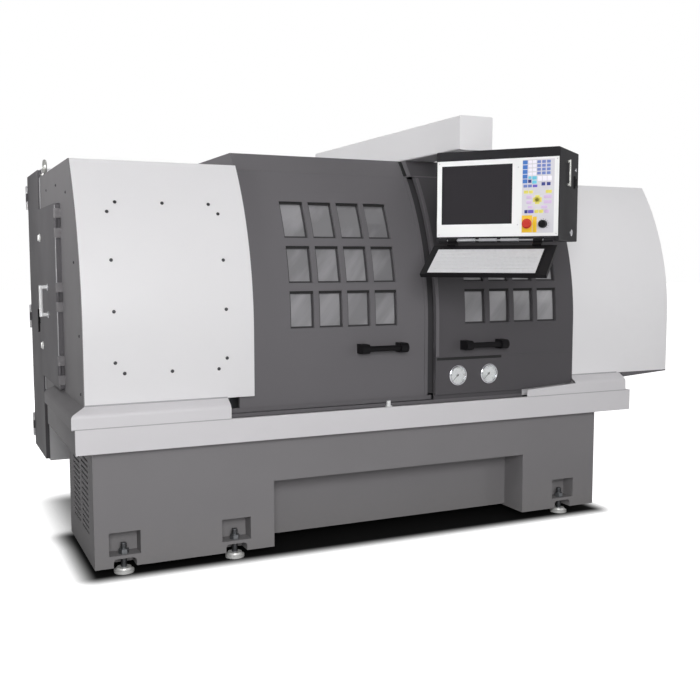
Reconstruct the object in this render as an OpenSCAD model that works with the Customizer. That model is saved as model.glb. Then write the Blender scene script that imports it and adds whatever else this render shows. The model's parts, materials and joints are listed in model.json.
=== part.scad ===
// Flat-bed turning lathe with a sliding-door enclosure and a hanging control pendant.
// Millimetres. X runs along the spindle from headstock to tailstock, Y from the
// operator's side to the rear, Z up from the floor. The datum is the underside
// centre of the front left levelling pad; sizes below count from the pedestal's
// front left corner, and at_datum() moves the finished pieces to the datum.

/* [Pedestal] */
// Length of the pedestal
ped_l = 2580; // [2400:10:2800]
// Depth of the pedestal
ped_d = 640; // [620:5:700]
// Height of the pedestal's top above the floor
ped_top = 527; // [500:1:560]
// Clearance between the floor and the pedestal
ped_clear = 30; // [26:1:36]
// Start of the toe recess, from the pedestal's left end
recess_x = 789; // [760:1:900]
// Length of the pedestal to the right of the toe recess
recess_right = 449; // [430:1:700]
// Top of the toe recess above the floor
recess_top = 329; // [280:1:360]
// Depth of the toe recess
recess_d = 160; // [100:1:200]
// Extra floor clearance under the recessed middle
recess_clear = 10; // [5:1:40]
// Width of a jacking pocket
pocket_w = 132; // [110:1:150]
// Height of a jacking pocket
pocket_h = 100; // [90:1:120]
// Depth of a jacking pocket
pocket_d = 78; // [70:1:90]
// Thickness of the foot flange under a jacking pocket
flange_t = 14; // [10:1:20]

/* [Levelling feet] */
// First foot from the pedestal's left end
foot_x1 = 125; // [100:1:150]
// Second foot from the pedestal's left end
foot_x2 = 613; // [560:1:660]
// Last foot from the pedestal's right end
foot_x3 = 197; // [150:1:240]
// Foot centre line from the pedestal's front and rear faces
foot_y = 32; // [28:1:40]
// Radius of a levelling pad
pad_r = 42; // [36:1:46]
// Height of a levelling pad
pad_h = 22; // [16:1:24]
// Radius of a jack screw
jack_r = 12; // [10:1:14]

/* [Chip tray] */
// Overhang of the tray past the pedestal's left end
tray_left = 72; // [60:1:80]
// Overhang of the tray past the pedestal's right end
tray_right = 190; // [150:1:240]
// Overhang of the tray in front of the pedestal
tray_front = 50; // [40:1:60]
// Overhang of the tray behind the pedestal
tray_rear = 150; // [120:1:200]
// Height of the tray wall
tray_h = 105; // [90:1:120]
// Thickness of the tray's sheet
tray_t = 6; // [4:1:8]
// Height of the sloped ledges above the tray
ledge_h = 85; // [70:1:100]
// Length of the left ledge, from the cover's left end
ledge_l = 604; // [500:1:640]
// Start of the right ledge, before the right door's right end
ledge_lap = 301; // [200:1:340]
// Overhang of the end ledge past the cover's left end
ledge_side = 62; // [50:1:70]

/* [Enclosure] */
// Overhang of the headstock cover past the pedestal's left end
head_over = 24; // [10:1:40]
// Length of the headstock cover
head_l = 726; // [680:1:760]
// Height of the headstock cover's top
head_top = 1735; // [1700:1:1760]
// Visible length of the main door
main_w = 881; // [860:1:940]
// Length of the right-hand door section
right_w = 833; // [800:1:880]
// Overhang of the tailstock cover past the pedestal's right end
tail_over = 495; // [440:1:540]
// Height of the tailstock cover's top
tail_top = 1712; // [1690:1:1720]
// Height of the roof
roof_top = 1799; // [1780:1:1830]
// Depth of the enclosure behind the front cover
encl_d = 1217; // [1180:1:1300]
// Height at which the front begins to lean back
arc_z = 1000; // [960:5:1040]
// Radius of the curved front
arc_r = 1260; // [1200:5:1400]
// Thickness of the cover sheet
sheet_t = 3; // [2:0.5:4]

/* [Sliding doors] */
// Depth of a door pan
door_t = 24; // [20:1:28]
// Set-back of the main door behind the headstock cover
main_set = 22; // [21:1:26]
// Distance the right door stands in front of the headstock cover
right_proud = 14; // [10:1:18]
// Set-back of the tailstock cover
tail_set = 16; // [15:1:22]
// Overlap of the main door behind the headstock cover
main_lap = 62; // [50:1:90]
// Gap between the two doors
door_gap = 25; // [15:1:30]
// Bottom of the main door above the tray's rim
main_low = 32; // [26:1:40]
// Height of the gauge panel's top above the tray's rim
gauge_top = 214; // [200:1:240]
// Width of a window pane
pane_w = 115; // [100:1:120]
// Height of a window pane
pane_h = 166; // [150:1:170]
// Width of the bars between panes
bar_w = 26; // [20:1:28]
// Height of the bars between panes
bar_h = 36; // [28:1:38]
// Bottom of the windows above the floor
pane_z = 1006; // [990:1:1020]
// Height of the door handles above the floor
handle_z = 904; // [895:1:920]
// Length of a door handle
handle_l = 238; // [220:1:290]
// Finger room behind a door handle
handle_gap = 34; // [28:1:40]

/* [Gauges] */
// Radius of a pressure gauge
gauge_r = 48; // [36:1:50]
// Height of the gauges above the tray's rim
gauge_z = 126; // [110:1:140]
// First gauge from the door split
gauge_x = 144; // [120:1:200]
// Distance between the gauges
gauge_pitch = 177; // [140:1:200]

/* [Cabinet and left end] */
// Width of the electrical cabinet
cab_w = 1110; // [900:10:1300]
// Depth of the electrical cabinet
cab_d = 500; // [400:10:560]
// Bottom of the electrical cabinet above the floor
cab_low = 256; // [220:1:300]
// Rise of the cabinet's top above the headstock cover
cab_rise = 45; // [20:1:60]
// Front edge of the end access door
access_y = 507; // [490:1:530]
// Distance of the end door's rear edge from the enclosure's rear
access_rear = 38; // [30:1:80]
// Top of the end access door
access_top = 1565; // [1500:1:1600]
// Depth of the end and cabinet doors' pans
leaf_t = 20; // [16:1:24]
// Radius of a door hinge pin
hinge_r = 4; // [3:0.5:5]

/* [Pendant] */
// Width of the overhead arm
arm_w = 172; // [150:1:190]
// Height of the overhead arm
arm_h = 150; // [130:1:170]
// Reach of the overhead arm in front of the headstock cover
arm_reach = 245; // [220:1:280]
// Swivel axis behind the arm's front end
pivot_back = 85; // [80:1:110]
// Height of the swivel collar
collar_h = 10; // [8:1:14]
// Angle of the pendant from the machine's front
pend_yaw = -52; // [-60:1:0]
// Width of the pendant
pend_w = 560; // [540:1:600]
// Height of the pendant
pend_h = 396; // [380:1:420]
// Depth of the pendant
pend_d = 320; // [280:1:340]
// Swivel axis from the pendant's left side
pend_left = 94; // [90:1:160]
// Swivel axis behind the pendant's face
pend_front = 120; // [110:1:150]
// Width of the screen
screen_w = 326; // [300:1:332]
// Height of the screen
screen_h = 258; // [240:1:264]
// Slope of the keyboard shelf
key_tilt = 37; // [30:1:45]
// Length of the keyboard shelf
key_l = 228; // [210:1:270]

/* [Machine inside] */
// Height of the spindle axis above the floor
axis_z = 1130; // [1120:1:1150]
// Spindle axis behind the headstock cover's face
axis_y = 400; // [390:1:420]
// Height of the bed's top above the floor
bed_top = 820; // [810:1:830]
// Distance of the bed's end from the pedestal's right end
bed_end = 100; // [60:10:200]
// Length of the headstock casting
head_cl = 540; // [500:10:560]
// Length of the saddle
saddle_l = 400; // [360:10:420]
// Distance between the spindle nose and the saddle at rest
saddle_gap = 380; // [340:10:420]
// Length of the tailstock casting
tail_cl = 330; // [300:10:340]
// Distance of the tailstock's front from the bed's end
tail_back = 560; // [540:10:600]
// Length of the spindle motor
motor_l = 400; // [360:10:420]
// Width of the bed
bed_w = 400; // [380:1:420]
// Radius of the spindle in its bearings
spindle_r = 75; // [70:1:80]
// Radius of the spindle's through bore
bore_r = 40; // [35:1:45]
// Radius of the chuck
chuck_r = 157; // [140:1:160]
// Radius of the spindle pulley
big_pulley_r = 115; // [105:1:120]
// Radius of the motor pulley
small_pulley_r = 69; // [60:1:72]
// Radius of the tailstock quill
quill_r = 40; // [36:1:44]
// Radius of the tailstock handwheel
wheel_r = 110; // [100:1:120]

/* [Hidden] */
$fn = 96;

// Clearances: a running fit, a sliding gap, and the overlap that makes cuts clean
run = 0.05;
gap = 0.3;
eps = 1;
// Step that keeps a round from running out to nothing where it meets a flat
skim = 0.05;

// Paint and metal colours
white_paint = [0.87, 0.87, 0.88];
dark_paint = [0.36, 0.36, 0.37];
base_paint = [0.46, 0.46, 0.47];
arm_paint = [0.80, 0.80, 0.81];
black = [0.10, 0.10, 0.11];
steel = [0.70, 0.71, 0.73];
iron = [0.42, 0.44, 0.46];

// Heights
tray_z = ped_top;
rim_z = tray_z + tray_h;
ledge_z = rim_z + ledge_h;
main_z0 = rim_z + main_low;
gauge_z1 = rim_z + gauge_top;
door_rail = 6;
right_z0 = gauge_z1 + gap;
door_z1 = tail_top + 4;
pend_z0 = roof_top - collar_h - pend_h;
skirt_z = tray_z + 40;

// Places along the machine
recess_l = ped_l - recess_x - recess_right;
access_d = encl_d - access_y - access_rear;
head_x0 = -head_over;
head_x1 = head_x0 + head_l;
split_x = head_x1 + main_w;
right_x1 = split_x + right_w;
tail_x1 = ped_l + tail_over;
tail_lap = 120;
tray_x0 = -tray_left;
tray_x1 = ped_l + tray_right;
tray_y1 = ped_d + tray_rear;
end_t = 4;
ledge_round = 22;
end_x = head_x0 - end_t;
ledge_x0 = head_x0 - ledge_side;
ledge_x1 = head_x0 + ledge_l;
right_ledge_x0 = right_x1 - ledge_lap;
main_x0 = head_x1 - main_lap;
right_x0 = split_x + door_gap;
foot_xs = [foot_x1, foot_x2, ped_l - foot_x3];
foot_ys = [foot_y, ped_d - foot_y];

// Windows: four columns by three rows in each door
pane_cols = 4;
pane_rows = 3;
glass_set = 17;
glass_t = 4;
window_w = pane_cols * pane_w + (pane_cols - 1) * bar_w;
window_h = pane_rows * pane_h + (pane_rows - 1) * bar_h;
main_window_x = head_x1 + 180;
right_window_x = right_x0 + 162;
main_handle_x = split_x - 136 - handle_l;
right_handle_x = right_x0 + 135;

// Pendant arm and swivel
arm_x0 = split_x + 2;
arm_y1 = encl_d + 180;
pivot_x = arm_x0 + arm_w / 2;
pivot_y = -arm_reach + pivot_back;
post_r = 34;
bezel_t = 10;
bezel_low = 20;
bezel_high = 41;
screen_x = -pend_left + 26;
screen_z = bezel_low + 55;
pad_x = screen_x + screen_w + 44;
pad_w = 140;
pad_z = bezel_low + 14;
pad_hh = 312;
stop_x = pad_x + 30;
stop_z = pad_z + 39;
knob_x = pad_x + 96;
knob_z = pad_z + 37;
shaft_r = 6;
hinge_out = 14;
hinge_up = 4;
shelf_pin_r = 4;

// Electrical cabinet
cab_t = 3;
cab_x0 = head_x0 + 9;
cab_x1 = cab_x0 + cab_w;
cab_y0 = encl_d + sheet_t;
cab_top = head_top + cab_rise;
cab_y1 = cab_y0 + cab_d;
cab_hinge_y = cab_y1 - 6;
cab_hinge_x = cab_x0 - gap - leaf_t - 2;
latch_y = cab_y0 + 62;
latch_z = (cab_low + head_top) / 2;
access_hinge_x = end_x - gap - leaf_t - 2;
access_hinge_y = access_y - 8;
access_low = ledge_z + 6;
knuckle_r = hinge_r + 4;
knuckle_h = 44;

// Machine inside
bed_x0 = 100;
bed_x1 = ped_l - bed_end;
bed_z0 = tray_z + tray_t;
bed_y0 = axis_y - bed_w / 2;
bed_y1 = axis_y + bed_w / 2;
wall_w = 70;
way_h = 18;
head_cx0 = bed_x0;
head_cx1 = bed_x0 + head_cl;
head_cz1 = axis_z + 250;
nose_x = head_cx1 + 50;
chuck_x1 = nose_x + 112;
pulley_x0 = 24;
pulley_x1 = head_cx0 - 12;
motor_back = 287;
motor_y = encl_d - motor_back;
shelf_z = bed_top + 30;
motor_h = 112;
motor_z = shelf_z + motor_h;
saddle_x0 = nose_x + saddle_gap;
saddle_x1 = saddle_x0 + saddle_l;
saddle_z1 = bed_top + way_h + 50;
slide_x0 = saddle_x0 + 80;
slide_x1 = saddle_x1 - 80;
turret_x = (slide_x0 + slide_x1) / 2;
turret_y = axis_y - 140;
turret_z = axis_z - 54;
screw_r = 20;
screw_y = bed_y0 - 46;
screw_z = bed_top - 70;
tail_cx0 = bed_x1 - tail_back;
tail_cx1 = tail_cx0 + tail_cl;
wheel_x = tail_cx1 + 40;

module at_datum() {
  translate([-foot_x1, -foot_y, 0]) children();
}

// A block between two opposite corners
module slab(low, high) {
  translate(low) cube(high - low);
}

// A section drawn in Y and Z, extruded along X
module along_x(x1, x2) {
  translate([x1, 0, 0]) rotate([90, 0, 90]) linear_extrude(x2 - x1) children();
}

// A section drawn in X and Z, extruded along Y
module along_y(y1, y2) {
  translate([0, y2, 0]) rotate([90, 0, 0]) linear_extrude(y2 - y1) children();
}

module rod_x(x1, x2, y, z, r) {
  translate([x1, y, z]) rotate([0, 90, 0]) cylinder(h = x2 - x1, r = r);
}

module rod_y(x, y1, y2, z, r) {
  translate([x, y2, z]) rotate([90, 0, 0]) cylinder(h = y2 - y1, r = r);
}

module rod_z(x, y, z1, z2, r) {
  translate([x, y, z1]) cylinder(h = z2 - z1, r = r);
}

// A rectangle with round corners
module round_rect(w, h, r) {
  translate([r, 0]) square([w - 2 * r, h]);
  translate([0, r]) square([w, h - 2 * r]);
  for (x = [r, w - r], y = [r, h - r]) translate([x, y]) circle(r);
}

// Everything behind the curved front, set back by the given amount
module behind_front(set) {
  translate([arc_r, arc_z]) circle(arc_r - set, $fn = 360);
  translate([set, 0]) square([arc_r - set, arc_z]);
}

// A strip of the curved front between two set-backs and two heights
module front_strip(set1, set2, z1, z2) {
  intersection() {
    difference() {
      behind_front(set1);
      behind_front(set2);
    }
    translate([-2 * tray_front, z1]) square([arc_r, z2 - z1]);
  }
}

// Depth of the curved front at a height
function front_y(set, z) =
  z <= arc_z ? set : arc_r - sqrt(pow(arc_r - set, 2) - pow(z - arc_z, 2));

// Pedestal and feet

module jacking_pocket(x, y, side) {
  pocket_z0 = ped_clear + pad_h + 2 * flange_t;
  inner = side > 0 ? pocket_d : -pocket_d;
  slab([x - pocket_w / 2, min(y - eps * side, y + inner), pocket_z0],
       [x + pocket_w / 2, max(y - eps * side, y + inner), pocket_z0 + pocket_h]);
  notch_r = pad_r + 6;
  notch_z = pocket_z0 - flange_t;
  along_y(min(y - eps * side, y + inner), max(y - eps * side, y + inner))
    translate([x - notch_r, ped_clear - 20]) round_rect(2 * notch_r, notch_z - ped_clear + 20, 16);
}

module louvre_slots() {
  rows = 14;
  for (row = [0 : rows - 1], col = [0, 1]) {
    z = recess_top - 180 + row * 24;
    slab([-eps, 120 + col * 220, z], [10, 300 + col * 220, z + 10]);
  }
}

module base_pedestal() color(base_paint) at_datum() difference() {
  slab([0, 0, ped_clear], [ped_l, ped_d, ped_top]);
  slab([recess_x, -eps, ped_clear - eps], [recess_x + recess_l, recess_d, recess_top]);
  slab([recess_x, -eps, ped_clear - eps], [recess_x + recess_l, ped_d + eps, ped_clear + recess_clear]);
  for (x = foot_xs) {
    jacking_pocket(x, 0, 1);
    jacking_pocket(x, ped_d, -1);
    for (y = foot_ys) rod_z(x, y, ped_clear, ped_clear + pad_h + 3 * flange_t, jack_r + run);
  }
  louvre_slots();
}

module levelling_pads() color([0.78, 0.78, 0.76]) at_datum() for (x = foot_xs, y = foot_ys)
  translate([x, y, 0]) difference() {
    rotate_extrude() difference() {
      square([pad_r, pad_h]);
      translate([pad_r, pad_h]) circle(pad_h / 2);
    }
    translate([0, 0, pad_h - 6]) cylinder(h = 6 + eps, r = jack_r + run);
  }

module jack_screws() color(iron) at_datum() for (x = foot_xs, y = foot_ys) translate([x, y, 0]) {
  seat = ped_clear + pad_h + 2 * flange_t;
  translate([0, 0, pad_h - 6]) cylinder(h = seat + 46 - pad_h + 6, r = jack_r);
  translate([0, 0, seat]) cylinder(h = 20, r = 1.8 * jack_r, $fn = 6);
}

// Tray, ledges and door track

module chip_tray() color(white_paint) at_datum() {
  difference() {
    slab([tray_x0, -tray_front, tray_z], [tray_x1, tray_y1, rim_z]);
    slab([tray_x0 + tray_t, -tray_front + tray_t, tray_z + tray_t],
         [tray_x1 - tray_t, tray_y1 - tray_t, rim_z + eps]);
  }
  rim = 16;
  slab([tray_x0, -tray_front, rim_z - tray_t], [tray_x1, -tray_front + rim, rim_z]);
  slab([tray_x1 - rim, -tray_front, rim_z - tray_t], [tray_x1, tray_y1, rim_z]);
}

// Ledge of folded sheet: an upright face, a rounded shoulder, a slope up to the cover,
// a flat seat for the cover and a turned-down rear edge
module ledge_sheet(reach, back) {
  t = sheet_t;
  slope = atan2(26, reach - 6);
  x = ledge_round - reach;
  z = ledge_z - (ledge_round + (reach - ledge_round) * sin(slope)) / cos(slope);
  polygon(concat(
    [[-reach, rim_z]], bend(x, z, ledge_round, 180, 90 + slope),
    [[0, ledge_z], [back, ledge_z], [back, rim_z], [back - t, rim_z], [back - t, ledge_z - t],
     [t * tan(slope / 2), ledge_z - t]],
    bend(x, z, ledge_round - t, 90 + slope, 180), [[t - reach, rim_z]]
  ));
}

// Points of a bend about a centre, from one angle to another
function bend(x, z, r, from, to, steps = 12) =
  [for (i = [0 : steps]) let (a = from + (to - from) * i / steps) [x + r * cos(a), z + r * sin(a)]];

ledge_back = 16;

module left_ledge() color(white_paint) at_datum() difference() {
  along_x(ledge_x0, ledge_x1) ledge_sheet(tray_front, ledge_back);
  linear_extrude(2 * ledge_z) polygon([
    [head_x0 + ledge_side, tray_front], [head_x0, 0], [ledge_x0 - ledge_side, -2 * tray_front],
    [ledge_x0 - 2 * ledge_side, tray_front]
  ]);
}

module right_ledge() color(white_paint) at_datum() difference() {
  along_x(right_ledge_x0, tray_x1 - 30) ledge_sheet(tray_front, tail_set + sheet_t);
  along_y(-2 * tray_front, 2 * tray_front) polygon([
    [right_ledge_x0 - eps, gauge_panel_z(right_ledge_x0)], [right_x1, gauge_panel_z(right_x1)],
    [right_x1, 2 * ledge_z], [right_ledge_x0 - eps, 2 * ledge_z]
  ]);
}

module door_track() color(dark_paint) at_datum() {
  low = [-tray_front + tray_t + 12, rim_z - 20];
  along_x(ledge_x1, right_ledge_x0) polygon([
    [low[0], low[1]], [main_set + door_t + 12, low[1]], [main_set + door_t + 12, rim_z + 8],
    [main_set + door_t + 4, rim_z + 8], [main_set + door_t + 4, rim_z + 2], [main_set - 8, rim_z + 2],
    [main_set - 8, rim_z + 12], [main_set - 24, rim_z + 12], [main_set - 24, rim_z - 4], [low[0], rim_z - 4]
  ]);
  along_x(head_x0 + 6, split_x + door_gap) translate([main_set + 4, rim_z - 20])
    square([door_t - 8, main_low + 20 - gap]);
  for (x = [head_x0 + 30 : 290 : split_x])
    slab([x, main_set + 4, tray_z + tray_t], [x + 40, main_set + door_t - 4, rim_z - 20]);
}

// Fixed covers

module cover_section(set, top) {
  front_strip(set, set + sheet_t, ledge_z, top);
  translate([front_y(set, top), top - sheet_t]) square([encl_d - front_y(set, top) + sheet_t, sheet_t]);
  translate([encl_d, tail_top - 30]) square([sheet_t, top - tail_top + 30]);
  translate([set, ledge_z]) square([main_set - set - 4, sheet_t]);
}

module headstock_cover() color(white_paint) at_datum() {
  along_x(head_x0, head_x1) cover_section(0, head_top);
  for (x = [head_x0, head_x1 - sheet_t])
    along_x(x, x + sheet_t) front_strip(0, main_set - 4, ledge_z, head_top);
}

module tail_cover() color(white_paint) at_datum() {
  x0 = right_x1 - tail_lap;
  along_x(x0, tail_x1) {
    front_strip(tail_set, tail_set + sheet_t, ledge_z, tail_top);
    translate([front_y(tail_set, tail_top), tail_top - sheet_t])
      square([encl_d - front_y(tail_set, tail_top), sheet_t]);
  }
  along_x(right_x1 + gap, tail_x1) {
    translate([encl_d - eps, tail_top - sheet_t]) square([sheet_t + eps, sheet_t]);
    translate([encl_d, tail_top - 30]) square([sheet_t, 30]);
  }
  along_x(tail_x1 - sheet_t, tail_x1) intersection() {
    behind_front(tail_set);
    translate([0, ledge_z]) square([encl_d, tail_top - ledge_z]);
  }
  along_x(x0, x0 + sheet_t) front_strip(tail_set, tail_set + 40, ledge_z, tail_top);
}

// Dark wedge that closes the tailstock cover's overhang from below
module tail_floor() color(dark_paint) at_datum() {
  thin = 6;
  deep = 26;
  along_y(tail_set, encl_d - sheet_t) polygon([
    [tray_x1, ledge_z - deep], [tail_x1, ledge_z - thin], [tail_x1, ledge_z], [tray_x1, ledge_z]
  ]);
  slab([tray_x1 - 28, tail_set + sheet_t, ledge_z - thin], [tray_x1 + eps, tray_y1, ledge_z]);
  slab([tray_x1 - 2 * tray_t, tray_y1 - 60, rim_z], [tray_x1, tray_y1, ledge_z]);
}

module rear_panel() color(dark_paint) at_datum() {
  along_y(encl_d - sheet_t, encl_d) polygon([
    [head_x0, skirt_z], [tray_x1, skirt_z], [tray_x1, ledge_z - 26], [tail_x1 - sheet_t, ledge_z - 6],
    [tail_x1 - sheet_t, tail_top - sheet_t], [head_x0, tail_top - sheet_t]
  ]);
  along_x(head_x0, tray_x1) {
    translate([tray_y1, skirt_z]) square([encl_d - tray_y1, sheet_t]);
    translate([tray_y1, skirt_z]) square([sheet_t, 40]);
  }
  slab([tray_x1 - sheet_t, tray_y1, skirt_z], [tray_x1, encl_d, ledge_z - 26]);
  for (x = [head_x0 : 500 : tray_x1])
    slab([x, encl_d - 30, skirt_z], [x + sheet_t, encl_d, tail_top - sheet_t]);
}

// Left end: plate with an access opening and a skirt over the tray's end

module end_frame() color(dark_paint) at_datum() {
  along_x(end_x, head_x0) difference() {
    intersection() {
      behind_front(0);
      translate([0, skirt_z]) square([encl_d, head_top - skirt_z]);
    }
    translate([-eps, 0]) square([tray_y1 + eps, ledge_z - sheet_t]);
    translate([access_y + 14, access_low + 14])
      square([access_d - 28, access_top - access_low - 28]);
  }
  difference() {
    translate([0, tray_y1, 0]) rotate([90, 0, 0]) linear_extrude(tray_y1 + tray_front)
      translate([head_x0, 0]) ledge_sheet(ledge_side, 6);
    linear_extrude(2 * ledge_z) polygon([
      [head_x0 + ledge_side, tray_front], [head_x0, 0], [ledge_x0 - ledge_side, -2 * tray_front],
      [head_x0 + ledge_side, -2 * tray_front]
    ]);
  }
  hinge_leaves(end_x, access_hinge_x, access_hinge_y, 1, access_zs());
}

function access_zs() = [access_low + 90, (access_low + access_top) / 2, access_top - 90];
function cabinet_zs() = [cab_low + 120, (cab_low + head_top) / 2, cab_top - 120];

// Frame half of a hinge: two knuckles on a leaf, either side of the door's knuckle
module hinge_leaves(plate_x, x, y, side, zs) {
  for (z = zs, end = [-1, 1]) difference() {
    union() {
      z1 = z + end * knuckle_h - knuckle_h / 2 + gap;
      z2 = z + end * knuckle_h + knuckle_h / 2 - gap;
      rod_z(x, y, z1, z2, knuckle_r);
      slab([x, min(y, y - side * knuckle_r), z1], [plate_x, max(y, y - side * knuckle_r), z2]);
    }
    rod_z(x, y, z - 2 * knuckle_h, z + 2 * knuckle_h, hinge_r);
  }
}

// Door half of a hinge: one knuckle between the two of the frame
module hinge_knuckles(x, y, side, zs) {
  for (z = zs) difference() {
    union() {
      rod_z(x, y, z - knuckle_h / 2, z + knuckle_h / 2, knuckle_r);
      slab([x - knuckle_r, min(y, y + side * 2 * knuckle_r), z - knuckle_h / 2],
           [x + 4, max(y, y + side * 2 * knuckle_r), z + knuckle_h / 2]);
    }
    rod_z(x, y, z - knuckle_h, z + knuckle_h, hinge_r + run);
  }
}

// Door leaf: a shallow pan with its open side towards the frame
module leaf_pan(x, y1, y2, z1, z2) {
  wall = 3;
  difference() {
    along_x(x - leaf_t, x) translate([y1, z1]) round_rect(y2 - y1, z2 - z1, 12);
    slab([x - leaf_t + wall, y1 + 16, z1 + 16], [x + eps, y2 - 16, z2 - 16]);
  }
}

module access_door() color(dark_paint) at_datum() {
  difference() {
    union() {
      leaf_pan(end_x - gap, access_y, access_y + access_d, access_low, access_top);
      hinge_knuckles(access_hinge_x, access_hinge_y, 1, access_zs());
    }
    for (z = access_zs())
      rod_z(access_hinge_x, access_hinge_y, z - knuckle_h, z + knuckle_h, hinge_r + run);
  }
}

module access_handle() color(steel) at_datum() {
  y = access_y + access_d / 2;
  z0 = 1040;
  z1 = 1190;
  x = end_x - gap - leaf_t;
  rod_z(x - 34, y, z0, z1, 9);
  for (z = [z0 + 9, z1 - 9]) rod_x(x - 34, x, y, z, 9);
}

module hinge_pins() color(steel) at_datum() {
  reach = 1.5 * knuckle_h;
  for (z = access_zs()) rod_z(access_hinge_x, access_hinge_y, z - reach, z + reach, hinge_r);
  for (z = cabinet_zs()) rod_z(cab_hinge_x, cab_hinge_y, z - reach, z + reach, hinge_r);
}

// Electrical cabinet behind the headstock

module electrical_cabinet() color(arm_paint) at_datum() {
  difference() {
    slab([cab_x0, cab_y0, cab_low], [cab_x1, cab_y1, cab_top]);
    slab([cab_x0 + cab_t, cab_y0 + cab_t, cab_low + cab_t],
         [cab_x1 - cab_t, cab_y1 - cab_t, cab_top - cab_t]);
    slab([cab_x0 - eps, cab_y0 + 30, cab_low + 30], [cab_x0 + 2 * cab_t, cab_y1 - 30, cab_top - 30]);
    for (row = [0 : 9]) {
      z = cab_low + 140 + row * 26;
      slab([cab_x1 - 380, cab_y1 - 2 * cab_t, z], [cab_x1 - 160, cab_y1 + eps, z + 12]);
    }
  }
  hinge_leaves(cab_x0, cab_hinge_x, cab_hinge_y, -1, cabinet_zs());
}

module cabinet_door() color(dark_paint) at_datum() difference() {
  union() {
    leaf_pan(cab_x0 - gap, cab_y0 + 6, cab_hinge_y - knuckle_r, cab_low + 8, cab_top - 8);
    hinge_knuckles(cab_hinge_x, cab_hinge_y, -1, cabinet_zs());
  }
  for (z = cabinet_zs()) rod_z(cab_hinge_x, cab_hinge_y, z - knuckle_h, z + knuckle_h, hinge_r + run);
  rod_x(cab_x0 - 2 * leaf_t, cab_x0, latch_y, latch_z, shaft_r + run);
}

module cabinet_latch() color(black) at_datum() {
  x = cab_x0 - gap - leaf_t;
  rod_x(x - 14, x - gap, latch_y, latch_z, 16);
  rod_x(x - gap - eps, x + 3, latch_y, latch_z, shaft_r);
  along_x(x - 14, x - 5) translate([latch_y - 11, latch_z - 60]) round_rect(22, 120, 10);
}

module cabinet_brackets() color(base_paint) at_datum() for (x = [foot_x1 + pocket_w / 2 + 60, cab_x1 - 230]) {
  far = cab_y1 - 40;
  along_x(x, x + 12) polygon([[ped_d, cab_low - 10], [far, cab_low - 10], [far, cab_low - 40], [ped_d, 90]]);
  slab([x - 34, ped_d, cab_low - 10], [x + 46, far, cab_low]);
  slab([x - 34, ped_d, 90], [x + 46, ped_d + 10, cab_low]);
}

module drive_rack() color(steel) at_datum() {
  back = cab_y1 - cab_t;
  slab([cab_x0 + 60, back - 24, cab_low + 60], [cab_x1 - 40, back - 20, head_top - 60]);
  for (x = [cab_x0 + 80, cab_x1 - 80]) slab([x, back - 20, cab_low + 80], [x + 20, back, head_top - 80]);
  for (unit = [0 : 3]) {
    x = cab_x0 + 110 + unit * 210;
    slab([x, back - 190, latch_z + 40], [x + 170, back - 24, latch_z + 480]);
  }
  slab([cab_x0 + 160, back - 120, cab_low + 200], [cab_x1 - 180, back - 24, cab_low + 330]);
}

// Lifting eyes: one on the headstock cover's rear corner, one on the cabinet
module lifting_eyes() color(steel) at_datum() {
  seat_r = 20;
  ring_r = 36;
  for (seat = [[end_x + seat_r, encl_d - 60, head_top], [cab_x1 - 40, cab_y0 + 80, cab_top]]) translate(seat) {
    cylinder(h = 10, r = seat_r);
    translate([0, 0, 10 + ring_r]) rotate([0, 90, 0]) rotate_extrude() translate([ring_r - 6, 0]) circle(8);
  }
}

// Roof hood: a fascia in two steps above the doors, a top sheet and end plates

module enclosure_roof() color(dark_paint) at_datum() {
  left = main_set;
  right = -right_proud;
  low = door_z1 + gap;
  inner = roof_top - sheet_t;
  step = split_x + 2;
  rib_set = 43;
  difference() {
    union() {
      roof_block(head_x1, step, left, low, roof_top, encl_d);
      roof_block(step, right_x1, right, low, roof_top, encl_d);
    }
    roof_block(head_x1 + sheet_t, step - sheet_t, left + sheet_t, low - eps, inner, encl_d + eps);
    roof_block(step + sheet_t, right_x1 - sheet_t, right + sheet_t, low - eps, inner, encl_d + eps);
    roof_block(step - 2 * sheet_t, step + 2 * sheet_t, left + 60, low - 2 * eps, inner, encl_d + 2 * eps);
  }
  slab([head_x1, encl_d, tail_top - 30], [right_x1, encl_d + sheet_t, roof_top]);
  for (x = [head_x1 + 400, split_x + 90, right_x1 - 400])
    slab([x, front_y(left, roof_top) + rib_set, roof_top - 40], [x + 40, encl_d, inner]);
}

// A block behind the curved front, between two ends and two heights
module roof_block(x1, x2, set, z1, z2, y2) {
  along_x(x1, x2) intersection() {
    behind_front(set);
    translate([-2 * tray_front, z1]) square([y2 + 2 * tray_front, z2 - z1]);
  }
}

// Sliding doors: curved pans with a barred window

module door_pan(x1, x2, z1, set, window_x) {
  wall = 3;
  lip = 20;
  difference() {
    union() {
      difference() {
        along_x(x1, x2) front_strip(set, set + door_t, z1, door_z1);
        along_x(x1 + lip, x2 - lip) front_strip(set + wall, set + door_t + eps, z1 + lip, door_z1 - lip);
      }
      along_x(window_x - bar_w, window_x + window_w + bar_w)
        front_strip(set, set + glass_set, pane_z - bar_w, pane_z + window_h + bar_w);
    }
    for (col = [0 : pane_cols - 1], row = [0 : pane_rows - 1])
      translate([window_x + col * (pane_w + bar_w), -tray_front, pane_z + row * (pane_h + bar_h)])
        cube([pane_w, 8 * tray_front, pane_h]);
  }
}

module door_glass(set, window_x) {
  half = bar_w / 2;
  along_x(window_x - half, window_x + window_w + half)
    front_strip(set + glass_set, set + glass_set + glass_t, pane_z - half, pane_z + window_h + half);
}

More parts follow.
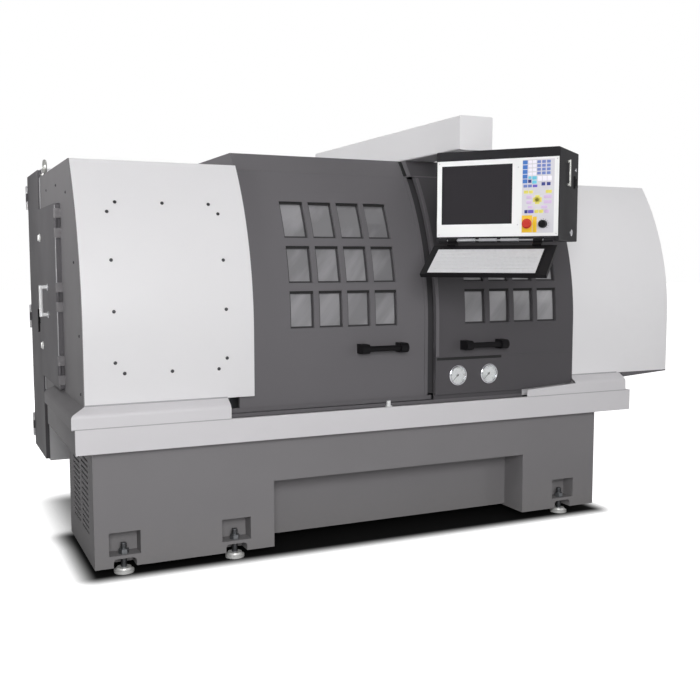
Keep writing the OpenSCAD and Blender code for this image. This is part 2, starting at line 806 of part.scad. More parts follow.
// Bar handle: two blocks on the door and a bar between them
module door_handle(x, set) {
  block = 38;
  bar = 13;
  y = set - handle_gap - bar;
  for (bx = [x, x + handle_l - block]) {
    slab([bx, y, handle_z - 22], [bx + block, set, handle_z + 22]);
    translate([bx, y, handle_z]) rotate([0, 90, 0]) cylinder(h = block, r = 22);
  }
  rod_x(x + block / 2, x + handle_l - block / 2, y, handle_z, bar);
}

module main_door() color(dark_paint) at_datum()
  door_pan(main_x0, split_x, main_z0, main_set, main_window_x);
module main_door_window() color([0.62, 0.63, 0.64]) at_datum() door_glass(main_set, main_window_x);
module main_door_handle() color(black) at_datum() door_handle(main_handle_x, main_set);
module right_door() color(dark_paint) at_datum()
  door_pan(right_x0, right_x1, right_z0, -right_proud, right_window_x);
module right_door_window() color([0.62, 0.63, 0.64]) at_datum() door_glass(-right_proud, right_window_x);
module right_door_handle() color(black) at_datum() door_handle(right_handle_x, -right_proud);

// Gauge panel under the right door: its lower edge climbs beside the right ledge

function gauge_panel_z(x) = rim_z + 35 + max(0, x - right_ledge_x0) * 0.056;
function gauge_xs() = [split_x + gauge_x, split_x + gauge_x + gauge_pitch];

module gauge_panel() color(dark_paint) at_datum() difference() {
  x0 = right_x0;
  union() {
    along_y(-right_proud, door_t - right_proud) polygon([
      [x0, gauge_panel_z(x0)], [right_ledge_x0, gauge_panel_z(right_ledge_x0)],
      [right_x1, gauge_panel_z(right_x1)], [right_x1, gauge_z1], [x0, gauge_z1]
    ]);
    slab([x0, main_set - 24, rim_z + 12], [right_ledge_x0, door_t - right_proud, gauge_panel_z(x0) + 4]);
  }
  along_y(sheet_t - right_proud, door_t) polygon([
    [x0 + 16, gauge_panel_z(x0) + 16], [right_x1 - 16, gauge_panel_z(right_x1) + 16],
    [right_x1 - 16, gauge_z1 - door_rail], [x0 + 16, gauge_z1 - door_rail]
  ]);
  for (x = gauge_xs()) rod_y(x, -2 * right_proud, door_t, rim_z + gauge_z, gauge_r - 10 + run);
}

module gauge_cases() color(steel) at_datum() for (x = gauge_xs())
  translate([x, -right_proud, rim_z + gauge_z]) rotate([90, 0, 0]) difference() {
    rotate_extrude() {
      translate([0, -20]) square([gauge_r - 10, 24]);
      difference() {
        square([gauge_r, 16]);
        translate([0, 4]) square([gauge_r - 7, 13]);
        translate([gauge_r, 16]) circle(5);
      }
    }
    translate([0, 0, -10]) cylinder(h = 40, r = 2 + run);
  }

module gauge_needle(x) {
  translate([x, -right_proud, rim_z + gauge_z]) rotate([90, 0, 0]) {
    translate([0, 0, -8]) cylinder(h = 16, r = 2);
    translate([0, 0, 6]) rotate(225) linear_extrude(1.5) {
      circle(4);
      polygon([[-8, 1.6], [gauge_r - 14, 0.5], [gauge_r - 14, -0.5], [-8, -1.6]]);
    }
  }
}

module needle_left() color("black") at_datum() gauge_needle(gauge_xs()[0]);
module needle_right() color("black") at_datum() gauge_needle(gauge_xs()[1]);

// Overhead arm and control pendant

module pendant_arm() color(arm_paint) at_datum() difference() {
  union() {
    along_y(-arm_reach, arm_y1) translate([arm_x0, roof_top]) round_rect(arm_w, arm_h, 8);
    rod_z(pivot_x, pivot_y, roof_top - collar_h + gap, roof_top + eps, 2 * post_r);
    slab([arm_x0 - 40, encl_d - 320, roof_top], [arm_x0 + arm_w + 40, encl_d - 40, roof_top + 12]);
  }
  rod_z(pivot_x, pivot_y, roof_top - 2 * collar_h, roof_top + 50, post_r + run);
}

module in_pendant() {
  translate([pivot_x, pivot_y, pend_z0]) rotate(pend_yaw) children();
}

module pendant_housing() color(black) at_datum() in_pendant() {
  difference() {
    translate([0, pend_d - pend_front, 0]) rotate([90, 0, 0]) linear_extrude(pend_d)
      translate([-pend_left, 0]) round_rect(pend_w, pend_h, 6);
    slab([-pend_left + 4, -pend_front - eps, bezel_low],
         [pend_w - pend_left - 4, -pend_front + bezel_t, pend_h - bezel_high]);
    for (row = [0 : 7])
      slab([40, pend_d - pend_front - 6, 90 + row * 26], [300, pend_d - pend_front + eps, 102 + row * 26]);
    rod_y(stop_x, -pend_front, -pend_front + 60, stop_z, shaft_r + run);
    rod_y(knob_x, -pend_front, -pend_front + 60, knob_z, shaft_r + run);
  }
  rod_z(0, 0, pend_h - eps, pend_h + collar_h + 40, post_r);
  for (x = [-pend_left + 20, pend_w - pend_left - 60]) hinge_ear(x);
}

// Ear under the pendant's front edge that carries the shelf's hinge pin
module hinge_ear(x) {
  y = -pend_front - hinge_out;
  difference() {
    union() {
      rod_x(x, x + 40, y, hinge_up, 9);
      slab([x, y, hinge_up - 9], [x + 40, -pend_front + 6, hinge_up + 9]);
    }
    rod_x(x - eps, x + 40 + eps, y, hinge_up, shelf_pin_r);
  }
}

module pendant_bezel() color([0.96, 0.96, 0.96]) at_datum() in_pendant() difference() {
  slab([-pend_left + 4, -pend_front, bezel_low],
       [pend_w - pend_left - 4, -pend_front + bezel_t, pend_h - bezel_high]);
  slab([screen_x, -pend_front - eps, screen_z],
       [screen_x + screen_w, -pend_front + bezel_t + eps, screen_z + screen_h]);
  slab([pad_x, -pend_front - eps, pad_z], [pad_x + pad_w, -pend_front + bezel_t + eps, pad_z + pad_hh]);
}

module screen() color([0.18, 0.18, 0.19]) at_datum() in_pendant()
  slab([screen_x, -pend_front + 5, screen_z],
       [screen_x + screen_w, -pend_front + bezel_t, screen_z + screen_h]);

module keypad() color([0.80, 0.80, 0.82]) at_datum() in_pendant() difference() {
  slab([pad_x, -pend_front, pad_z], [pad_x + pad_w, -pend_front + bezel_t, pad_z + pad_hh]);
  rod_y(stop_x, -pend_front - eps, -pend_front + 2 * bezel_t, stop_z, shaft_r + run);
  rod_y(knob_x, -pend_front - eps, -pend_front + 2 * bezel_t, knob_z, shaft_r + run);
}

// Mushroom button: its stem runs in the keypad and stops short of the stem hole's end
module emergency_stop() color([0.75, 0.12, 0.10]) at_datum() in_pendant()
  translate([stop_x, -pend_front, stop_z]) rotate([90, 0, 0]) rotate_extrude() {
    translate([0, -44]) square([shaft_r, 60]);
    translate([0, 14]) square([17, 8]);
    difference() {
      translate([0, 20]) square([21, 12]);
      translate([21, 32]) circle(6);
    }
  }

module override_knob() color(black) at_datum() in_pendant()
  translate([knob_x, -pend_front, knob_z]) rotate([90, 0, 0]) {
    translate([0, 0, -40]) cylinder(h = 50, r = shaft_r);
    difference() {
      translate([0, 0, gap]) cylinder(h = 24, r = 17);
      for (a = [0 : 30 : 330]) rotate(a) translate([18.4, 0, 6]) cylinder(h = 30, r = 3);
      translate([-1.5, 6, 22]) cube([3, 12, 4]);
    }
  }

// Keyboard shelf: hinged under the pendant's face, resting at its lower stop
module in_shelf() {
  in_pendant() translate([0, -pend_front - hinge_out, hinge_up]) rotate([key_tilt, 0, 0]) children();
}

shelf_y = 22;
shelf_t = 18;
keys_x0 = -pend_left + 33;
keys_x1 = pend_w - pend_left - 48;
keys_y0 = -key_l + 7;
keys_y1 = -54;

module keyboard_shelf() color(black) at_datum() in_shelf() difference() {
  union() {
    slab([-pend_left, -key_l, -shelf_t - 12], [pend_w - pend_left, -shelf_y, -12]);
    for (x = [-pend_left + 66, pend_w - pend_left - 106]) shelf_ear(x);
  }
  slab([keys_x0, keys_y0, -18], [keys_x1, keys_y1, -12 + eps]);
  rod_x(-2 * pend_w, 2 * pend_w, 0, 0, shelf_pin_r + run);
}

module shelf_ear(x) {
  rod_x(x, x + 40, 0, 0, 9);
  slab([x, -shelf_y - 6, -shelf_t - 6], [x + 40, 0, -4]);
}

module keyboard() color([0.82, 0.82, 0.83]) at_datum() in_shelf()
  slab([keys_x0, keys_y0, -18], [keys_x1, keys_y1, -9]);

// Hinge pin with three bright spacer sleeves between the ears
module shelf_pin() color(steel) at_datum() in_pendant() {
  y = -pend_front - hinge_out;
  sleeve_l = 80;
  rod_x(-pend_left + 20, pend_w - pend_left - 20, y, hinge_up, shelf_pin_r);
  for (i = [0 : 2])
    rod_x(16 + i * 1.24 * sleeve_l, 16 + (1.24 * i + 1) * sleeve_l, y, hinge_up, 2 * shelf_pin_r);
}

// Bed with a raised front vee way, a flat rear way and cross ribs

module bed() color(iron) at_datum() {
  along_x(bed_x0, bed_x1) {
    for (y = [bed_y0, bed_y1 - wall_w]) translate([y, bed_z0]) square([wall_w, bed_top - bed_z0]);
    translate([bed_y0 - 24, bed_z0]) square([wall_w + 24, 40]);
    translate([bed_y1 - wall_w, bed_z0]) square([wall_w + 24, 40]);
  }
  rib_pitch = 290;
  for (x = [bed_x0 : rib_pitch : bed_x1 - 40])
    slab([x, bed_y0 + wall_w - eps, bed_z0 + 30], [x + 36, bed_y1 - wall_w + eps, bed_top - 60]);
  along_x(head_cx1, bed_x1) {
    way_section(bed_y0 + wall_w / 2);
    translate([bed_y1 - wall_w + 8, bed_top - eps]) square([wall_w - 16, way_h + eps]);
  }
  for (x = [head_cx1 + 4, bed_x1 - 54]) difference() {
    slab([x, screw_y - 34, screw_z - 40], [x + 50, bed_y0 + eps, screw_z + 40]);
    rod_x(x - eps, x + 50 + eps, screw_y, screw_z, screw_r - 4 + run);
  }
}

module way_section(y) {
  polygon([
    [y - 22, bed_top - eps], [y - 22, bed_top], [y, bed_top + way_h], [y + 22, bed_top],
    [y + 22, bed_top - eps]
  ]);
}

// The matching groove, clear of the way by the sliding gap
module way_groove(y, z0) {
  polygon([
    [y - 24, z0 - eps], [y - 23, z0], [y, bed_top + way_h + 2 * gap], [y + 23, z0], [y + 24, z0 - eps]
  ]);
}

// Headstock casting with a motor shelf at the rear

module headstock() color([0.62, 0.64, 0.66]) at_datum() difference() {
  union() {
    along_x(head_cx0, head_cx1) polygon([
      [bed_y0 - 10, bed_top], [bed_y1 + 40, bed_top], [bed_y1 + 40, head_cz1 - 90], [bed_y1 - 60, head_cz1],
      [bed_y0 + 90, head_cz1], [bed_y0 - 10, head_cz1 - 130]
    ]);
    slab([head_cx0, bed_y1, bed_top], [head_cx1 - 40, motor_y + 170, shelf_z]);
    along_y(bed_y1 + 30, motor_y + 170) polygon([
      [head_cx0 + 180, bed_top - 60], [head_cx0 + 220, bed_top - 60], [head_cx0 + 220, bed_top + eps],
      [head_cx0 + 180, bed_top + eps]
    ]);
    rod_x(head_cx1 - eps, head_cx1 + 14, axis_y, axis_z, spindle_r + 55);
  }
  rod_x(head_cx0 - eps, head_cx1 + 20, axis_y, axis_z, spindle_r + run);
}

module spindle() color(steel) at_datum() difference() {
  union() {
    rod_x(pulley_x0 - 10, head_cx1 + 16, axis_y, axis_z, spindle_r);
    rod_x(head_cx1 + 16, nose_x, axis_y, axis_z, spindle_r + 40);
  }
  rod_x(pulley_x0 - 20, nose_x + eps, axis_y, axis_z, bore_r);
}

// Poly-vee pulley on the spindle's tail and its partner on the motor
module vee_pulley(x1, x2, y, z, r, bore) {
  grooves = 6;
  pitch = (x2 - x1 - 12) / grooves;
  translate([x1, y, z]) rotate([0, 90, 0]) rotate_extrude() difference() {
    translate([bore, 0]) square([r + 4 - bore, x2 - x1]);
    translate([r, 6]) square([10, x2 - x1 - 12]);
    for (i = [0 : grooves - 1])
      translate([r, 6 + (i + 0.5) * pitch]) polygon([[eps, -pitch * 0.4], [eps, pitch * 0.4], [-4, 0]]);
  }
}

module spindle_pulley() color(iron) at_datum()
  vee_pulley(pulley_x0, pulley_x1, axis_y, axis_z, big_pulley_r, spindle_r);

module motor_pulley() color(iron) at_datum() {
  vee_pulley(pulley_x0, pulley_x1, motor_y, motor_z, small_pulley_r, 20);
  rod_x(pulley_x0, head_cx0 + 60, motor_y, motor_z, 20);
}

// Closed belt: an arc on each pulley and two straight runs tangent to both
module belt_section(thick) {
  r1 = big_pulley_r + gap;
  r2 = small_pulley_r + gap;
  run_y = motor_y - axis_y;
  run_z = motor_z - axis_z;
  span = sqrt(run_y * run_y + run_z * run_z);
  wrap = acos((r1 - r2) / span);
  c = cos(wrap);
  s = sin(wrap);
  translate([axis_y, axis_z]) rotate(atan2(run_z, run_y)) {
    difference() {
      circle(r1 + thick);
      circle(r1);
      belt_mouth(3 * r1, 2 * r1 * c, 2 * r1 * s);
    }
    translate([span, 0]) difference() {
      circle(r2 + thick);
      circle(r2);
      belt_mouth(-3 * r2, 2 * r2 * c, 2 * r2 * s);
    }
    for (m = [1, -1]) rotate(m * (wrap - 90)) translate([0, m > 0 ? 0 : -2 * r1 - thick])
      translate([-eps, r1 + skim]) square([span * s + 2 * eps, thick - 2 * skim]);
  }
}

// Where the belt leaves a pulley: the sector between the two straight runs
module belt_mouth(far, x, y) {
  polygon([[0, 0], [x, y], [far, y], [far, -y], [x, -y]]);
}

module drive_belt() color(black) at_datum() along_x(pulley_x0 + 7, pulley_x1 - 7) belt_section(5);

module spindle_motor() color([0.30, 0.32, 0.34]) at_datum() {
  x0 = head_cx0 + 20;
  x1 = x0 + motor_l;
  side = 2 * motor_h - 24;
  fins = 9;
  difference() {
    union() {
      along_x(x0, x1) translate([motor_y - side / 2, motor_z - side / 2]) difference() {
        round_rect(side, side, 26);
        for (i = [0 : fins - 1])
          translate([26 + i * (side - 60) / (fins - 1), side - 10]) square([8, 11]);
      }
      slab([x0 + 20, motor_y - motor_h, shelf_z], [x0 + 120, motor_y + motor_h, motor_z - side / 2 + eps]);
      slab([x1 - 120, motor_y - motor_h, shelf_z], [x1 - 20, motor_y + motor_h, motor_z - side / 2 + eps]);
      rod_x(x1 - eps, x1 + 50, motor_y, motor_z, side / 2 - 14);
    }
    rod_x(x0 - eps, x0 + 60, motor_y, motor_z, 20 + run);
  }
}

// Three-jaw chuck

module at_chuck() {
  translate([nose_x, axis_y, axis_z]) rotate([0, 90, 0]) children();
}

jaw_w = 36;
jaw_in = 52;
jaw_out = chuck_r - 12;

module chuck_body() color([0.52, 0.53, 0.55]) at_datum() at_chuck() difference() {
  length = chuck_x1 - nose_x;
  rotate_extrude() difference() {
    translate([bore_r + 4, 0]) square([chuck_r - bore_r - 4, length]);
    translate([chuck_r, length]) circle(6);
    translate([chuck_r, 34]) circle(4);
  }
  for (a = [0, 120, 240]) rotate(a) {
    translate([bore_r, -jaw_w / 4 - gap, length - 34]) cube([chuck_r, jaw_w / 2 + 2 * gap, 60]);
    translate([bore_r, -jaw_w / 2 - gap, length - 34]) cube([chuck_r, jaw_w + 2 * gap, 14]);
  }
}

module chuck_jaw(a) {
  length = chuck_x1 - nose_x;
  at_chuck() rotate(a) {
    translate([jaw_in, -jaw_w / 4, length - 34 + gap]) cube([jaw_out - jaw_in, jaw_w / 2, 60]);
    translate([jaw_in, -jaw_w / 2, length - 34 + gap]) cube([jaw_out - jaw_in, jaw_w, 14 - 2 * gap]);
    for (step = [0 : 2])
      translate([jaw_in + step * 28, -jaw_w / 2, length + gap])
        cube([jaw_out - jaw_in - step * 28, jaw_w, 26 + step * 16]);
  }
}

module chuck_jaw_1() color(steel) at_datum() chuck_jaw(0);
module chuck_jaw_2() color(steel) at_datum() chuck_jaw(120);
module chuck_jaw_3() color(steel) at_datum() chuck_jaw(240);

// Carriage, cross slide and tool turret

module saddle() color([0.58, 0.60, 0.62]) at_datum() difference() {
  z0 = bed_top + gap;
  union() {
    slab([saddle_x0, bed_y0 - 14, z0], [saddle_x1, bed_y1 + 14, saddle_z1]);
    slab([saddle_x0 + 30, bed_y0 - 90, screw_z - 60], [saddle_x1 - 30, bed_y0 - 26, saddle_z1]);
    slab([saddle_x0 + 30, bed_y0 - 30, z0], [saddle_x1 - 30, bed_y0 - 10, saddle_z1]);
    along_y(bed_y0 - 60, bed_y1) dovetail(0);
  }
  along_x(saddle_x0 - eps, saddle_x1 + eps) {
    way_groove(bed_y0 + wall_w / 2, z0);
    translate([bed_y1 - wall_w + 8 - gap, z0 - eps]) square([wall_w - 16 + 2 * gap, way_h + gap + eps]);
  }
  rod_x(saddle_x0, saddle_x1, screw_y, screw_z, screw_r + run);
}

module dovetail(grow) {
  polygon([
    [turret_x - 70 - grow, saddle_z1 - eps], [turret_x + 70 + grow, saddle_z1 - eps],
    [turret_x + 90 + grow, saddle_z1 + 26 + grow], [turret_x - 90 - grow, saddle_z1 + 26 + grow]
  ]);
}

module cross_slide() color([0.60, 0.62, 0.64]) at_datum() {
  difference() {
    slab([slide_x0, turret_y - 150, saddle_z1 + gap], [slide_x1, turret_y + 190, saddle_z1 + 62]);
    along_y(turret_y - 200, turret_y + 240) dovetail(gap);
  }
  difference() {
    rod_z(turret_x, turret_y, saddle_z1 + 61, turret_z - gap, 84);
    rod_z(turret_x, turret_y, turret_z - 60, turret_z, 30 + run);
  }
}

module tool_turret() color(steel) at_datum() translate([turret_x, turret_y, turret_z]) {
  side = 190;
  tall = 96;
  translate([0, 0, -50]) cylinder(h = 60, r = 30);
  difference() {
    translate([-side / 2, -side / 2, 0]) linear_extrude(tall) round_rect(side, side, 10);
    for (a = [0 : 90 : 270]) rotate(a)
      translate([-side / 2 - eps, -side / 2 - eps, 26]) cube([side + 2 * eps, 36, 34]);
  }
  translate([0, 0, tall - eps]) cylinder(h = 22, r = 40);
  for (a = [0 : 90 : 270]) rotate(a) translate([-side / 2 + 40, -side / 2 + 8, 26]) cube([side - 20, 26, 28]);
}

module ball_screw() color(steel) at_datum() {
  rod_x(head_cx1 + 54 + gap, bed_x1 - 54 - gap, screw_y, screw_z, screw_r);
  rod_x(head_cx1 + 4, bed_x1 + 30, screw_y, screw_z, screw_r - 4);
}

// Tailstock

module tailstock() color([0.58, 0.60, 0.62]) at_datum() difference() {
  z0 = bed_top + gap;
  union() {
    along_x(tail_cx0, tail_cx1) polygon([
      [bed_y0 - 10, z0], [bed_y1 + 10, z0], [bed_y1 + 10, z0 + 90], [axis_y + 110, axis_z - 70],
      [axis_y - 110, axis_z - 70], [bed_y0 - 10, z0 + 90]
    ]);
    rod_x(tail_cx0 - 30, tail_cx1, axis_y, axis_z, 92);
    along_x(tail_cx0, tail_cx1) translate([axis_y - 92, axis_z - 80]) square([184, 80]);
  }
  along_x(tail_cx0 - eps, tail_cx1 + eps) {
    way_groove(bed_y0 + wall_w / 2, z0);
    translate([bed_y1 - wall_w + 8 - gap, z0 - eps]) square([wall_w - 16 + 2 * gap, way_h + gap + eps]);
  }
  rod_x(tail_cx0 - 40, tail_cx1 - 40, axis_y, axis_z, quill_r + run);
  rod_x(tail_cx1 - 60, tail_cx1 + 10, axis_y, axis_z, 14 + run);
}

module quill() color(steel) at_datum() {
  rod_x(tail_cx0 - 70, tail_cx1 - 190, axis_y, axis_z, quill_r);
  translate([tail_cx0 - 70 - 60, axis_y, axis_z]) rotate([0, 90, 0]) rotate_extrude()
    polygon([[0, 0], [26, 45], [26, 60 + eps], [0, 60 + eps]]);
}

module handwheel() color([0.75, 0.76, 0.78]) at_datum() translate([0, axis_y, axis_z]) {
  translate([wheel_x, 0, 0]) rotate([0, 90, 0]) {
    rotate_extrude() translate([wheel_r - 11, 0]) circle(11);
    cylinder(h = 30, r = 26, center = true);
    for (a = [0, 120, 240]) rotate([0, 90, a]) cylinder(h = wheel_r - 8, r = 8);
    translate([wheel_r - 11, 0, 0]) cylinder(h = 62, r = 9);
  }
  rod_x(tail_cx1 - 40, wheel_x, 0, 0, 14);
}

base_pedestal();
levelling_pads();
jack_screws();
chip_tray();
left_ledge();
right_ledge();
door_track();
headstock_cover();
end_frame();
access_door();
access_handle();
hinge_pins();
rear_panel();
tail_cover();
tail_floor();
gauge_panel();
electrical_cabinet();
cabinet_door();
cabinet_latch();
cabinet_brackets();
drive_rack();
lifting_eyes();
enclosure_roof();
main_door();
main_door_window();
main_door_handle();
right_door();
right_door_window();
right_door_handle();
gauge_cases();
needle_left();
needle_right();
pendant_arm();
pendant_housing();
pendant_bezel();
screen();
keypad();
emergency_stop();
override_knob();
keyboard_shelf();
keyboard();
shelf_pin();
bed();
headstock();
spindle();
spindle_pulley();
chuck_body();
chuck_jaw_1();
chuck_jaw_2();
chuck_jaw_3();
spindle_motor();
motor_pulley();
drive_belt();
saddle();
cross_slide();
tool_turret();
ball_screw();
tailstock();
quill();
handwheel();
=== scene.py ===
"""Dresses the turning lathe: finishes for its solids, small fittings, studio and camera."""

from __future__ import annotations

import json
import logging
import math
from dataclasses import dataclass
from enum import Enum
from typing import Any, Iterable, Mapping, Sequence

import bmesh
import bpy
from mathutils import Matrix, Vector

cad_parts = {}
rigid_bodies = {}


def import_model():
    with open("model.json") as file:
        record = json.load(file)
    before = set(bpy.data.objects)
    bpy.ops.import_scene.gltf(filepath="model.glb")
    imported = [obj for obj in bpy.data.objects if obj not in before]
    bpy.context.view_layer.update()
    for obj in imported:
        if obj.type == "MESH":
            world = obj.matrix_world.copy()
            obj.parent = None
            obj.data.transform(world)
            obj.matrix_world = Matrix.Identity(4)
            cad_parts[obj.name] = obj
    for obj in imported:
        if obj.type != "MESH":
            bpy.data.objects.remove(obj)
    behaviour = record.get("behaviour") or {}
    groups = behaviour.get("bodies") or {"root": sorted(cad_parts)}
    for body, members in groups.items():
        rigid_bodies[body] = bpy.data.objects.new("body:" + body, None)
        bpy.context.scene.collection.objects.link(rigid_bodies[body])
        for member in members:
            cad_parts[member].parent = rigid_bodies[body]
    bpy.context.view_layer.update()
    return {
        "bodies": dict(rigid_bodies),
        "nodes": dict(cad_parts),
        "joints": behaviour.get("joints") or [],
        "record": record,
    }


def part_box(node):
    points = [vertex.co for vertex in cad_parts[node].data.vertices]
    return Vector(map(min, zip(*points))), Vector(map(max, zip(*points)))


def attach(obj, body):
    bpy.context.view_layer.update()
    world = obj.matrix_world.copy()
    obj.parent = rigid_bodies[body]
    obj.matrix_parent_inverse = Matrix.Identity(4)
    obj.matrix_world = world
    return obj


LOG = logging.getLogger("lathe")
MM = 0.001
FRAME_ORIGIN = (125.0, 32.0, 0.0)
STILL = Matrix.Identity(4)
TO_LEFT, TO_RIGHT, TO_FRONT, TO_REAR = (-1, 0, 0), (1, 0, 0), (0, -1, 0), (0, 1, 0)
SHARP_ANGLE = 32.0
EDGE_LIMIT = 0.45
THREAD_FILL = 0.45
THREAD_STEPS = 20
SUNK = 0.4
SCREW_HEAD = ((1.0, 0.22), (0.86, 0.42), (0.45, 0.5), (0.42, 0.16), (0.0, 0.16))
SCREW_STEPS = 20
MERGE = 1e-4
Point = Sequence[float]
Pair = tuple[float, float]
Colour = tuple[int, int, int]
Node = bpy.types.Node
Socket = bpy.types.NodeSocket
Tree = bpy.types.NodeTree


def feed(tree: Tree, node: Node, into: Mapping[str | int, Any]) -> None:
    """Set a node's inputs to values, or link them to sockets.

    Args:
        tree: The nodes that it belongs to.
        node: The node.
        into: Values or sockets by the inputs' names or numbers.
    """
    for key, value in into.items():
        if isinstance(value, Socket):
            tree.links.new(value, node.inputs[key])
        else:
            node.inputs[key].default_value = value


def add_node(tree: Tree, kind: str, into: Mapping[str | int, Any], **options: str) -> Node:
    """Add a shader node.

    Args:
        tree: The nodes that it joins.
        kind: Its type, without the prefix of all shader nodes.
        into: Values or sockets for its inputs.
        options: The node's own settings.

    Returns:
        The node.
    """
    node = tree.nodes.new(f"ShaderNode{kind}")
    for option, value in options.items():
        setattr(node, option, value)
    feed(tree, node, into)
    return node


def ramp(tree: Tree, value: Socket, reach: Pair, to: Pair = (0.0, 1.0), shape: str = "LINEAR") -> Socket:
    """Map a value from one range to another."""
    into = {"Value": value, "From Min": reach[0], "From Max": reach[1], "To Min": to[0], "To Max": to[1]}
    return add_node(tree, "MapRange", into, interpolation_type=shape).outputs["Result"]


def combine(tree: Tree, operation: str, one: Socket, two: Socket) -> Socket:
    """Join two values by a Math operation."""
    return add_node(tree, "Math", {0: one, 1: two}, operation=operation).outputs["Value"]


def blend(tree: Tree, share: Socket, one: Any, two: Any) -> Socket:
    """Mix two colours by a share."""
    return add_node(tree, "Mix", {"Factor": share, "A": one, "B": two}, data_type="RGBA").outputs["Result"]


def noise(tree: Tree, place: Socket, scale: float, detail: float) -> Socket:
    """Noise over the object's own coordinates."""
    return add_node(tree, "TexNoise", {"Vector": place, "Scale": scale, "Detail": detail}).outputs["Fac"]


def to_linear(value: float) -> float:
    """A display value from 0 to 1 as linear light."""
    return value / 12.92 if value <= 0.04045 else ((value + 0.055) / 1.055) ** 2.4


class Grain(Enum):
    """How a surface is worked."""

    PEEL = "sprayed paint"
    BRUSHED = "brushed along X"
    CAST = "sand-cast iron"
    MOULDED = "moulded plastic"
    SMOOTH = "polished"
    THREAD = "ground thread along X"


@dataclass(frozen=True)
class Look:
    """Values that all finishes share: dust, painted reflection streaks in panes and the depth of grains."""

    coat_roughness: float = 0.08
    drift_detail: float = 5.0
    sheen_reach: Pair = (0.3, 0.7)
    smoother: float = 0.05
    rougher: float = 0.06
    glossiest: float = 0.02
    painted_streak_edge: Pair = (0.42, 0.58)
    painted_streak_stretch: Point = (1.0, 1.0, 9.0)
    dust_share: float = 0.35
    dust_scale: float = 45.0
    dust_detail: float = 8.0
    dust_colour: Point = (0.30, 0.29, 0.27, 1.0)
    brush_stretch: Point = (0.04, 1.0, 1.0)
    cast_detail: float = 6.0
    fine_detail: float = 2.0
    thread_depth: float = 0.004
    grain_depth: float = 0.001


LOOK = Look()


@dataclass(frozen=True)
class Finish:
    """One surface finish, made as a node material.

    Colours are display values from 0 to 255. blotch is the share by which the colour
    drifts over the surface at the noise scale drift, and cell the size of the surface
    grain in millimetres. Where the lean is set, the drift becomes streaks at that many
    degrees from upright: painted reflections in a pane. Dust lies below dust_top metres.
    """

    name: str
    colour: Colour
    roughness: float = 0.45
    metallic: float = 0.0
    grain: Grain = Grain.PEEL
    cell: float = 3.0
    relief: float = 0.06
    blotch: float = 0.04
    drift: float = 2.6
    coat: float = 0.0
    transmission: float = 0.0
    specular: float = 0.5
    dust_top: float = 0.0
    lean: float = 0.0

    def linear(self, share: float) -> tuple[float, float, float, float]:
        """The colour in linear light, times a share."""
        return (*(min(1.0, share * to_linear(c / 255)) for c in self.colour), 1.0)

    def material(self) -> bpy.types.Material:
        """Make the material, or return the one made before.

        Returns:
            The node material of this finish.
        """
        own = f"lathe_{self.name}"
        found = bpy.data.materials.get(own)
        if found:
            return found
        made = bpy.data.materials.new(own)
        made.use_nodes = True
        tree = made.node_tree
        shader = tree.nodes["Principled BSDF"]
        place = tree.nodes.new("ShaderNodeTexCoord").outputs["Object"]
        feed(tree, shader, {
            "Metallic": self.metallic, "Coat Weight": self.coat, "Coat Roughness": LOOK.coat_roughness,
            "Transmission Weight": self.transmission, "Specular IOR Level": self.specular,
        })
        self._tint(tree, shader, place)
        self._grain(tree, shader, place)
        return made

    def _tint(self, tree: Tree, shader: Node, place: Socket) -> None:
        """Let colour and roughness drift slowly, with painted reflection streaks or floor dust where asked.

        Args:
            tree: The material's nodes.
            shader: Its surface shader.
            place: Object coordinates.
        """
        # With a lean, the colour drift turns into slanted painted reflection streaks.
        if self.lean:
            turn = (0.0, math.radians(self.lean), 0.0)
            into = {"Vector": place, "Rotation": turn, "Scale": LOOK.painted_streak_stretch}
            place = add_node(tree, "Mapping", into, vector_type="TEXTURE").outputs["Vector"]
        drift = noise(tree, place, self.drift, LOOK.drift_detail)
        share = ramp(tree, drift, LOOK.painted_streak_edge) if self.lean else drift
        colour = blend(tree, share, self.linear(1.0 - self.blotch), self.linear(1.0 + self.blotch))
        if self.dust_top:
            colour = self._dust(tree, place, colour)
        sheen = (max(LOOK.glossiest, self.roughness - LOOK.smoother), min(1.0, self.roughness + LOOK.rougher))
        feed(tree, shader, {"Base Color": colour, "Roughness": ramp(tree, drift, LOOK.sheen_reach, sheen)})

    def _dust(self, tree: Tree, place: Socket, colour: Socket) -> Socket:
        """Fade a little floor dust in below dust_top metres.

        Args:
            tree: The material's nodes.
            place: Object coordinates.
            colour: The clean colour.

        Returns:
            The colour with dust.
        """
        height = add_node(tree, "SeparateXYZ", {"Vector": place}).outputs["Z"]
        low = ramp(tree, height, (self.dust_top, 0.0), (0.0, LOOK.dust_share))
        speck = noise(tree, place, LOOK.dust_scale, LOOK.dust_detail)
        return blend(tree, combine(tree, "MULTIPLY", low, speck), colour, LOOK.dust_colour)

    def _grain(self, tree: Tree, shader: Node, place: Socket) -> None:
        """Give the surface its fine relief.

        Args:
            tree: The material's nodes.
            shader: Its surface shader.
            place: Object coordinates.
        """
        if self.grain is Grain.SMOOTH:
            return
        cell, depth = self.cell * MM, LOOK.grain_depth
        if self.grain is Grain.THREAD:
            depth = LOOK.thread_depth
            wave = {"Vector": place, "Scale": 0.5 / (cell * math.pi)}
            height = add_node(tree, "TexWave", wave, wave_profile="TRI").outputs["Fac"]
        else:
            if self.grain is Grain.BRUSHED:
                into = {"Vector": place, "Scale": LOOK.brush_stretch}
                place = add_node(tree, "Mapping", into).outputs["Vector"]
            detail = LOOK.cast_detail if self.grain is Grain.CAST else LOOK.fine_detail
            height = noise(tree, place, 1.0 / cell, detail)
        bump = add_node(tree, "Bump", {"Strength": self.relief, "Distance": depth, "Height": height})
        feed(tree, shader, {"Normal": bump.outputs["Normal"]})


